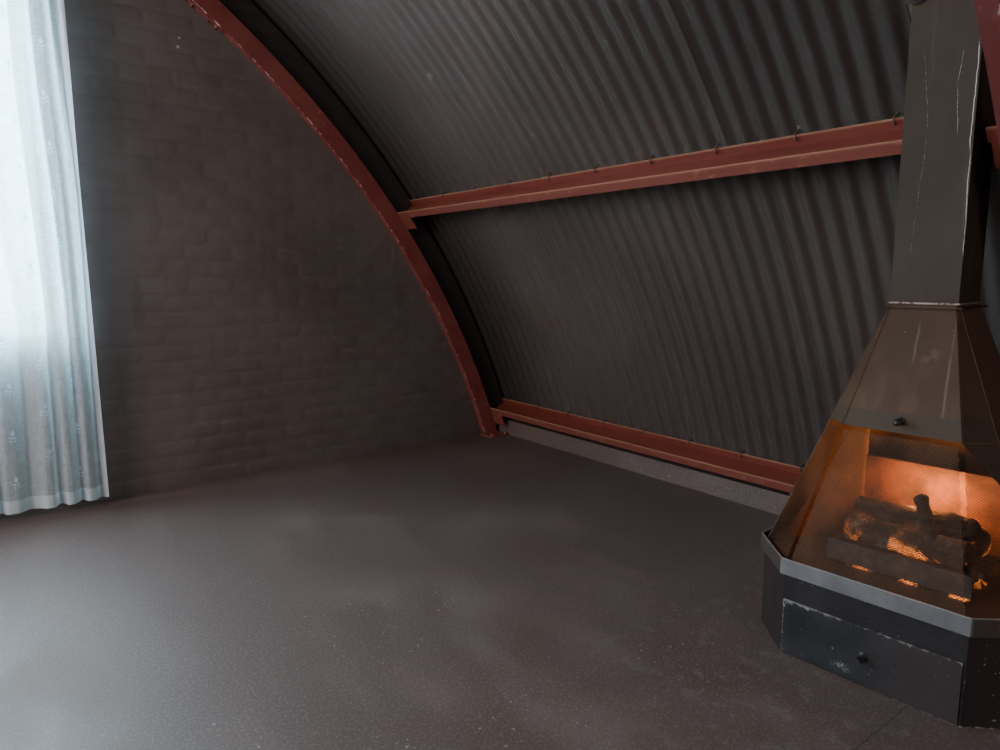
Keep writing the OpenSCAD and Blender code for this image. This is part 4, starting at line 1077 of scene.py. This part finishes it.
# Painted shade on the right-hand faces, with the right side plate itself painted a lighter brown as painted light.
front_lean = (base_length - flue_width) / 2 / (hood_top - hood_base)
behind_front = browned.x + base_length / 2 + hood_base * front_lean - browned.z * front_lean
shaded_right_faces = behind_front.step(0.002, 0.005) * browned.y.step(-0.05, -0.09)
colour = colour.under((0.020, 0.011, 0.008), shaded_right_faces * 0.65)
side_lean = (base_width - flue_width) / 2 / (hood_top - hood_base)
behind_side = browned.y + base_width / 2 + hood_base * side_lean - browned.z * side_lean
colour = colour.under((0.075, 0.042, 0.029), behind_side.near(0, 0.0015) * shaded_right_faces)
colour = colour.under((0.032, 0.023, 0.018), wipe.step(0.60, 0.76) * 0.4)
colour = colour.under((0.22, 0.17, 0.135), rubbed * 0.5)
streaks = 0
for (top_y, top_z), (low_y, low_z), wide, shine in (((-0.002, 0.955), (-0.002, 0.850), 0.0045, 0.15),
                                                    ((-0.085, 0.990), (-0.087, 0.880), 0.0040, 0.10),
                                                    ((-0.087, 0.880), (-0.093, 0.720), 0.0050, 0.16)):
    slope = (top_y - low_y) / (top_z - low_z)
    away = browned.y + (scabs - 0.5) * 0.006 - browned.z * slope - (low_y - low_z * slope)
    streaks = streaks + (away.near(0, wide) * browned.z.step(low_z - 0.008, low_z + 0.02)
                         * browned.z.step(top_z + 0.008, top_z - 0.02) * shine)
for mark_y, mark_z, size, shine in ((-0.051, 0.879, 0.016, 0.07), (-0.029, 0.863, 0.014, 0.06),
                                    (0.030, 0.93, 0.002, 0.3), (-0.08, 0.94, 0.002, 0.3)):
    away = ((browned.y - mark_y) ** 2 + (browned.z - mark_z) ** 2) ** 0.5
    streaks = streaks + (away + (scabs - 0.5) * size * 2.4).step(size, size * 0.2) * shine
colour = colour.under((0.34, 0.28, 0.23), browned.node("Clamp", {0: streaks * facing_room}))
browned.coat(colour, cloud * 0.16 + wipe * 0.14 + 0.42, scabs * 0.00012 + cloud * 0.001)
finish_nodes(browned, "hood")


def weld(start, end, bead, count):
    """A weld bead between two points: a round bar whose radius = bead times (1 + 0.16 |sin|) of its ripples."""
    t = np.linspace(0, 1, count)
    path = np.array(start) + (np.array(end) - np.array(start)) * t[:, None]
    points, groups = tube(path + 1e-7 * np.stack([t * t, 0 * t, 0 * t], -1), bead, 6)
    points = points.reshape(count, 6, 3)
    ripple = 1 + 0.16 * abs(np.sin(t * count * 1.1))[:, None, None]
    return (path[:, None] + (points - path[:, None]) * ripple).reshape(-1, 3), groups


def flat_bar(start, end, width, thick, facing):
    """A flat bar between two points, its thickness along the facing direction."""
    start, end, facing = (np.asarray(value, float) for value in (start, end, facing))
    ahead = (end - start) / np.linalg.norm(end - start)
    facing = facing - ahead * (facing @ ahead)
    facing /= np.linalg.norm(facing)
    across = np.cross(facing, ahead)
    square = np.array([[-1, -1], [1, -1], [1, 1], [-1, 1]]) / 2 * [width, thick]
    ring = square[:, :1] * across + square[:, 1:] * facing
    points = np.concatenate([start + ring, end + ring])
    return points, [grid_faces(2, 4, around=True), np.array([[3, 2, 1, 0], [4, 5, 6, 7]])]


def outward(shape):
    """The same closed shape with its faces turned outwards, which they are when its volume comes out positive."""
    points, groups = shape
    volume = 0
    for group in groups:
        first, middle = points[group[:, :1]], points[group]
        fan = np.cross(middle[:, 1:-1] - first, middle[:, 2:] - first)
        volume += (fan * first).sum()
    return points, groups if volume > 0 else [group[:, ::-1] for group in groups]


beads, mirror_y = [], np.array([1, -1, 1])
for which in range(4):
    low = screen_top + 0.002 if which == 0 else hood_base + (0.045 if which in (2, 3) else screen_top - hood_base)
    ends = [hood_corner(which, z, 0.0002) for z in (low, hood_top - 0.004)]
    beads += [outward(weld(ends[0] * flip, ends[1] * flip, 0.0014, 110)) for flip in (1, mirror_y)]
points, groups = joined(*beads)
piece("hood_hip_welds", (at_fire(points), groups), browned, crisp=60)

knob_height = screen_top + 0.030
knob_x = hood_corner(0, knob_height)[0]
points, groups = knob_turning(0.0360, 0.0056, 0.0100)
piece("damper_knob", (at_fire(points @ knob_axes + [knob_x + 0.0005, 0, knob_height]), groups), black_knob)
collar_half = flue_width / 2
flange_x, flange_end, flange_z = -0.0905, 0.0980, hood_top - 0.009
weld_x, weld_end, weld_z = -collar_half - 0.0012, collar_half + 0.0020, hood_top + 0.0015
quarter_turns = [np.array([[cos(turn * pi / 2), sin(turn * pi / 2), 0], [-sin(turn * pi / 2), cos(turn * pi / 2), 0],
                           [0, 0, 1]]) for turn in range(4)]
neck_flange, neck_weld = [], []
for spin in quarter_turns:
    ends = np.array([[flange_x, -flange_end, flange_z], [flange_x, flange_end, flange_z]]) @ spin
    neck_flange.append(outward(flat_bar(ends[0], ends[1], 0.015, 0.004, (0, 0, 1))))
    ends = np.array([[weld_x, -weld_end, weld_z], [weld_x, weld_end, weld_z]]) @ spin
    neck_weld.append(outward(weld(ends[0], ends[1], 0.0026, 60)))
points, groups = joined(*neck_flange)
piece("neck_flange", (at_fire(points), groups), browned, crisp=30)
bare_weld = fire_finish("bare_weld", {"Metallic": 0.5, "IOR": 1.5})
bare_weld.mottle(bare_weld.noise(90, 5), (0.085, 0.055, 0.045), (0.34, 0.26, 0.22), 0.38, 0.56, (0.3, 0.3), 0.0003)
points, groups = joined(*neck_weld)
piece("flue_joint_weld", (at_fire(points), groups), bare_weld, crisp=60)
gusset_top, gusset_foot, gusset_thick = screen_top - 0.0004, 0.533, 0.0008
gusset = np.array([hood_corner(0, gusset_top), hood_corner(1, gusset_top), hood_corner(1, gusset_foot)]) * mirror_y
slope = np.cross(gusset[1] - gusset[0], gusset[2] - gusset[0])
slope *= np.sign(slope @ [-1, -1, 0]) / np.linalg.norm(slope)
gusset = np.concatenate([gusset, gusset - slope * gusset_thick])
gusset_faces = [np.array([[0, 1, 2], [5, 4, 3]]), np.array([[0, 3, 4, 1], [1, 4, 5, 2], [2, 5, 3, 0]])]
piece("screen_corner_plate", outward((at_fire(gusset), gusset_faces)), browned, crisp=30)


# Screen: fine diamond mesh across the hood's open front and both of its chamfers, made from rows of zigzag wire
# that touch at their peaks, and held by narrow flat strips along its ends.
diamond_width, diamond_height, wire_radius = 0.0105, 0.0062, 0.00052


def mesh_panel(low_left, low_right, top_left, top_right, inset):
    """Zigzag wires in a panel between four corners. Point = middle of the row's edges plus a half diamond per step,
    up and down in turn; a row keeps the points that fall between the panel's sides."""
    corners = [np.asarray(corner, float) for corner in (low_left, low_right, top_left, top_right)]
    low_left, low_right, top_left, top_right = corners
    across = (low_right - low_left) / np.linalg.norm(low_right - low_left)
    middle_low, middle_top = (low_left + low_right) / 2, (top_left + top_right) / 2
    height = np.linalg.norm(middle_top - middle_low)
    upwards = (middle_top - middle_low) / height
    half_low = np.linalg.norm(low_right - low_left) / 2
    half_top = np.linalg.norm(top_right - top_left) / 2
    out = np.cross(across, upwards)
    wires = []
    for row in range(int((height - 2 * inset) / (diamond_height / 2))):
        base = inset + row * diamond_height / 2
        half = half_low + (half_top - half_low) * base / height - inset
        count = int(half / (diamond_width / 2))
        step = np.arange(-count, count + 1)
        peak = np.where((step + row) % 2 == 0, 0.5, -0.5) * diamond_height / 2
        path = (middle_low + upwards * (base + peak)[:, None] + across * (step * diamond_width / 2)[:, None])
        ring = wire_radius * np.array([[0, 1], [1, 0], [0, -1], [-1, 0]])
        points = path[:, None] + ring[:, :1] * out + ring[:, 1:] * upwards * 1.5
        ends = np.array([[0, 1, 2, 3], [3, 2, 1, 0]])
        ends[1] += 4 * (len(path) - 1)
        wires.append(outward((points.reshape(-1, 3), [grid_faces(len(path), 4, around=True), ends])))
    return joined(*wires)


hot_wire = fire_finish("heat_tinted_wire", {"Metallic": 0.55, "IOR": 1.5})
hot_wire.mottle(hot_wire.noise(9, 4), (0.070, 0.038, 0.024), (0.150, 0.078, 0.046), 0.4, 0.65, (0.3, 0.35), 0.0001)
screen_low, screen_high = rim_top - 0.030, screen_top - 0.004
front = [hood_corner(0, z, -0.0015) for z in (screen_low, screen_high)]
side = [hood_corner(1, z, -0.0015) for z in (screen_low, screen_high)]
panels = {"front": (front[0] * mirror_y, front[0], front[1] * mirror_y, front[1]),
          "left_chamfer": (side[0], front[0], side[1], front[1]),
          "right_chamfer": (front[0] * mirror_y, side[0] * mirror_y, front[1] * mirror_y, side[1] * mirror_y)}
for name, panel_corners in panels.items():
    points, groups = mesh_panel(*panel_corners, 0.004)
    wires = piece("screen_mesh_" + name, (at_fire(points), groups), hot_wire, crisp=180)
    if name == "front":
        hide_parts("fire_screen")
strips = []
for flip in (1, mirror_y):
    chamfer_facing = np.array([-1, 1, 0.3]) * flip
    for start, end, width in ((side[0], side[1], 0.007), (front[0], side[0], 0.006)):
        strips.append(outward(flat_bar(np.array(start) * flip, np.array(end) * flip, width, 0.0016, chamfer_facing)))
strips.append(outward(flat_bar(front[0] * mirror_y, front[0], 0.006, 0.0016, (-1, 0, 0.3))))
points, groups = joined(*strips)
piece("screen_frame_strips", (at_fire(points), groups), hot_wire, crisp=30)


# Flue: a square pipe of folded plate with a lock seam down one side, slipped over the hood's neck. Its black paint
# is scratched to white where things have rubbed against it.
flue_top = 3.950
flue_paint = fire_finish("scratched_flue_paint", {"IOR": 1.5, "Specular IOR Level": 0.12})
cloud = flue_paint.noise(3.2, 5)
wipe = flue_paint.noise(24, 5, stretch=(1, 1, 0.08))
scabs = flue_paint.noise(60, 6)
fine = flue_paint.noise(420, 3)
tremble = (flue_paint.noise(16, 5) - 0.5) * 0.011
side_y = abs(flue_paint.y)
on_front = flue_paint.x.step(0.004 - collar_half, 0.001 - collar_half)


def scratch(start, end, width, shine):
    """A scratch on the flue's front between two (y, z) points: 1 where y lies within width of the straight line
    y = start + slope times rise, between the two heights, and broken up by the fine noise."""
    (y0, z0), (y1, z1) = sorted((start, end), key=lambda point: point[1])
    slope = (y1 - y0) / (z1 - z0)
    off = flue_paint.y + tremble - (flue_paint.z * slope + (y0 - z0 * slope))
    length = flue_paint.z.step(z0 - 0.01, z0 + 0.02) * flue_paint.z.step(z1 + 0.01, z1 - 0.02)
    return off.near(0, width) * length * shine


marks = 0
for start, end, width, shine in (((-0.076, 1.647), (-0.077, 1.389), 0.0020, 1.00),
                                 ((-0.077, 1.389), (-0.086, 1.008), 0.0022, 0.80),
                                 ((-0.046, 1.643), (-0.036, 1.551), 0.0014, 0.55),
                                 ((-0.036, 1.551), (-0.048, 1.429), 0.0014, 0.60),
                                 ((0.044, 1.652), (0.022, 1.451), 0.0012, 0.38),
                                 ((0.023, 1.440), (0.041, 1.134), 0.0012, 0.36),
                                 ((-0.020, 1.950), (0.030, 1.780), 0.0012, 0.40),
                                 ((0.060, 1.113), (-0.008, 1.117), 0.0500, 0.10)):
    marks = scratch(start, end, width, shine) + marks
arris = side_y.near(collar_half, 0.004) * on_front
bright = (scabs + arris * 0.08).step(0.70, 0.82)
colour = flue_paint.mix((0.0285, 0.0185, 0.0140), (0.042, 0.0285, 0.0215), cloud.step(0.30, 0.70))
colour = colour.under((0.026, 0.021, 0.018), wipe.step(0.58, 0.76) * 0.45)
colour = colour.under((0.095, 0.076, 0.064), wipe.step(0.42, 0.28) * 0.25 + bright * 0.25)
ragged = (fine + marks * 0.5).step(0.62, 0.80)
colour = colour.under((0.52, 0.48, 0.43), flue_paint.node("Clamp", {0: marks * on_front * ragged}) * 0.85)
flue_paint.coat(colour, cloud * 0.16 + wipe * 0.12 + 0.42, scabs * 0.00015)
finish_nodes(flue_paint, "flue", "flue_cowl")
seam_ends = [(collar_half + 0.0006, -collar_half + 0.012, z) for z in (hood_top + 0.016, flue_top - 0.12)]
points, groups = outward(flat_bar(*seam_ends, 0.010, 0.0016, (1, 0, 0)))
piece("flue_lock_seam", (at_fire(points), groups), flue_paint, crisp=30)


# Flashing: a plate curved to the sheets and a square collar round the flue, riveted to the crests and pointed with
# mastic. The cowl's legs are riveted to the flue, under a pyramid cap.
weathered = Finish("weathered_zinc_paint", {"IOR": 1.5, "Metallic": 0.2})
cloud = weathered.noise(7, 5)
spangle = weathered.node("TexVoronoi", {"Vector": weathered.spot, "Scale": 140})
colour = weathered.mix((0.075, 0.070, 0.066), (0.135, 0.128, 0.120), (cloud + spangle * 0.15).step(0.4, 0.75))
colour = colour.under((0.10, 0.05, 0.03), weathered.noise(15, 6).step(0.60, 0.74) * 0.6)
weathered.coat(colour, cloud * 0.3 + 0.35, spangle * 0.0001 + cloud * 0.0006)
finish_nodes(weathered, "flue_flashing")
rivet = turned([(0.0055, -0.001), (0.0055, 0.0005), (0.0046, 0.0022), (0.0026, 0.0032)], 12)
flashing_under = sheet_radius + corrugation_depth + sheet_thick
flashing_radius = flashing_under + 0.0003 + 0.002
flue_angle = degrees(acos(flue_x / flashing_under))
rivet_reach = 0.24
edge = np.linspace(-rivet_reach, rivet_reach, 7)
rim_angle, rim_along = np.meshgrid(edge, edge)
on_rim = (abs(rim_angle) > rivet_reach - 0.01) | (abs(rim_along) > rivet_reach - 0.01)
rivet_angle = flue_angle + np.degrees(rim_angle[on_rim] / flashing_radius)
rivets = stamp(rivet, on_arch(flashing_radius, rivet_angle, flue_y + rim_along[on_rim]), arch_axes(rivet_angle))
legs = []
for spin in quarter_turns:
    places = np.array([[collar_half + 0.0023, 0, flue_top - z] for z in (0.040, 0.018)]) @ spin
    axes = np.array([[0, 1, 0], [0, 0, 1], [1, 0, 0]]) @ spin @ fire_axes
    legs.append(stamp(rivet, at_fire(places), axes[None].repeat(2, 0)))
piece("flashing_rivets", rivets, weathered)
piece("cowl_rivets", joined(*legs), weathered)


# Studio: a plain pale floor under the hut, a soft sky, lamps in the window openings, under the vault and outside it,
# the glow of the fire, and the camera. None of it belongs to the hut.
studio_paint = Finish("studio_floor", {})
studio_paint.coat((0.62, 0.61, 0.59), 0.8, studio_paint.noise(3, 2) * 0.0001)
ground_half, ground_z = 40, -0.003
ground = np.array([[x, y, ground_z] for x, y in ((-1, -1), (1, -1), (1, 1), (-1, 1))]) * [ground_half, ground_half, 1]
studio_floor = piece("studio_floor", (ground, np.arange(4)[None]), studio_paint)
studio_floor.parent = None

world = bpy.data.worlds.new("soft_sky")
bpy.context.scene.world = world
world.use_nodes = True
world.node_tree.nodes["Background"].inputs["Color"].default_value = (0.93, 0.93, 0.95, 1)
world.node_tree.nodes["Background"].inputs["Strength"].default_value = 0.5


def soft_light(name, place, aim, wide, high, power, tint):
    """A rectangular area light at a place, turned to a point, and not itself seen."""
    lamp = bpy.data.lights.new(name, "AREA")
    lamp.shape, lamp.size, lamp.size_y, lamp.energy, lamp.color = "RECTANGLE", wide, high, power, tint
    thing = bpy.data.objects.new(name, lamp)
    bpy.context.scene.collection.objects.link(thing)
    direction = np.array(aim, float) - place
    thing.matrix_world = Matrix.Translation(place) @ Vector(direction).to_track_quat("-Z", "Y").to_matrix().to_4x4()
    thing.visible_camera = False


daylight, lamplight, sunlight = (0.70, 0.90, 1.0), (1.0, 0.90, 0.83), (1.0, 0.98, 0.95)
window_x, window_y, window_z = 1.43, 3.08, 1.72
for side in (1, -1):
    soft_light(f"window_daylight_{side}", (side * window_x, window_y, window_z), (side * window_x, 0, window_z),
               1.48, 1.58, 210, daylight)
soft_light("far_side", (-2.2, 1.45, 1.6), (4.0, 1.6, 1.35), 2.7, 2.5, 90, lamplight)
soft_light("crown_fill", (0.3, 1.4, 2.95), (0.3, 1.4, 0), 2.6, 2.6, 60, lamplight)
soft_light("wall_fill", (-1.4, 0.6, 2.2), (2.2, 3.05, 1.2), 1.8, 1.8, 92, lamplight)
soft_light("hearth_fill", (3.3, -2.5, 1.5), (4.0, 0.0, 0.8), 1.2, 1.2, 8, lamplight)
soft_light("open_sky", (0, 2.0, 10), (0, 1.5, 0), 9, 9, 900, (0.95, 0.97, 1.0))
soft_light("garden_side", (-7.0, 9.5, 6.0), (-0.5, 3.0, 1.2), 6, 5, 700, sunlight)
soft_light("chimney_side", (10.5, 4.5, 6.5), (4.0, 0.8, 1.8), 6, 5, 600, sunlight)

fire_light = bpy.data.lights.new("fire_glow", "POINT")
fire_light.energy, fire_light.color, fire_light.shadow_soft_size = 8.5, (1.0, 0.34, 0.08), 0.06
fire_glow = bpy.data.objects.new("fire_glow", fire_light)
fire_glow.location = at_fire((0.035, -0.01, 0.45))
fire_glow.visible_camera = False
bpy.context.scene.collection.objects.link(fire_glow)

camera_place = (1.906, -0.7595, 1.201)
lens_mm, sensor_mm = 25.18, 36.0
yaw, pitch, roll = radians(36.80), radians(8.50), radians(-0.42)
ahead = np.array([sin(yaw) * cos(pitch), cos(yaw) * cos(pitch), -sin(pitch)])
right = np.array([cos(yaw), -sin(yaw), 0])
up = np.cross(right, ahead)
right, up = right * cos(roll) + up * sin(roll), up * cos(roll) - right * sin(roll)
camera = bpy.data.objects.new("camera", bpy.data.cameras.new("camera"))
camera.data.lens, camera.data.sensor_width, camera.data.clip_start = lens_mm, sensor_mm, 0.05
camera.matrix_world = Matrix.Translation(camera_place) @ Matrix(np.stack([right, up, -ahead], 1)).to_4x4()
bpy.context.scene.collection.objects.link(camera)
bpy.context.scene.camera = camera
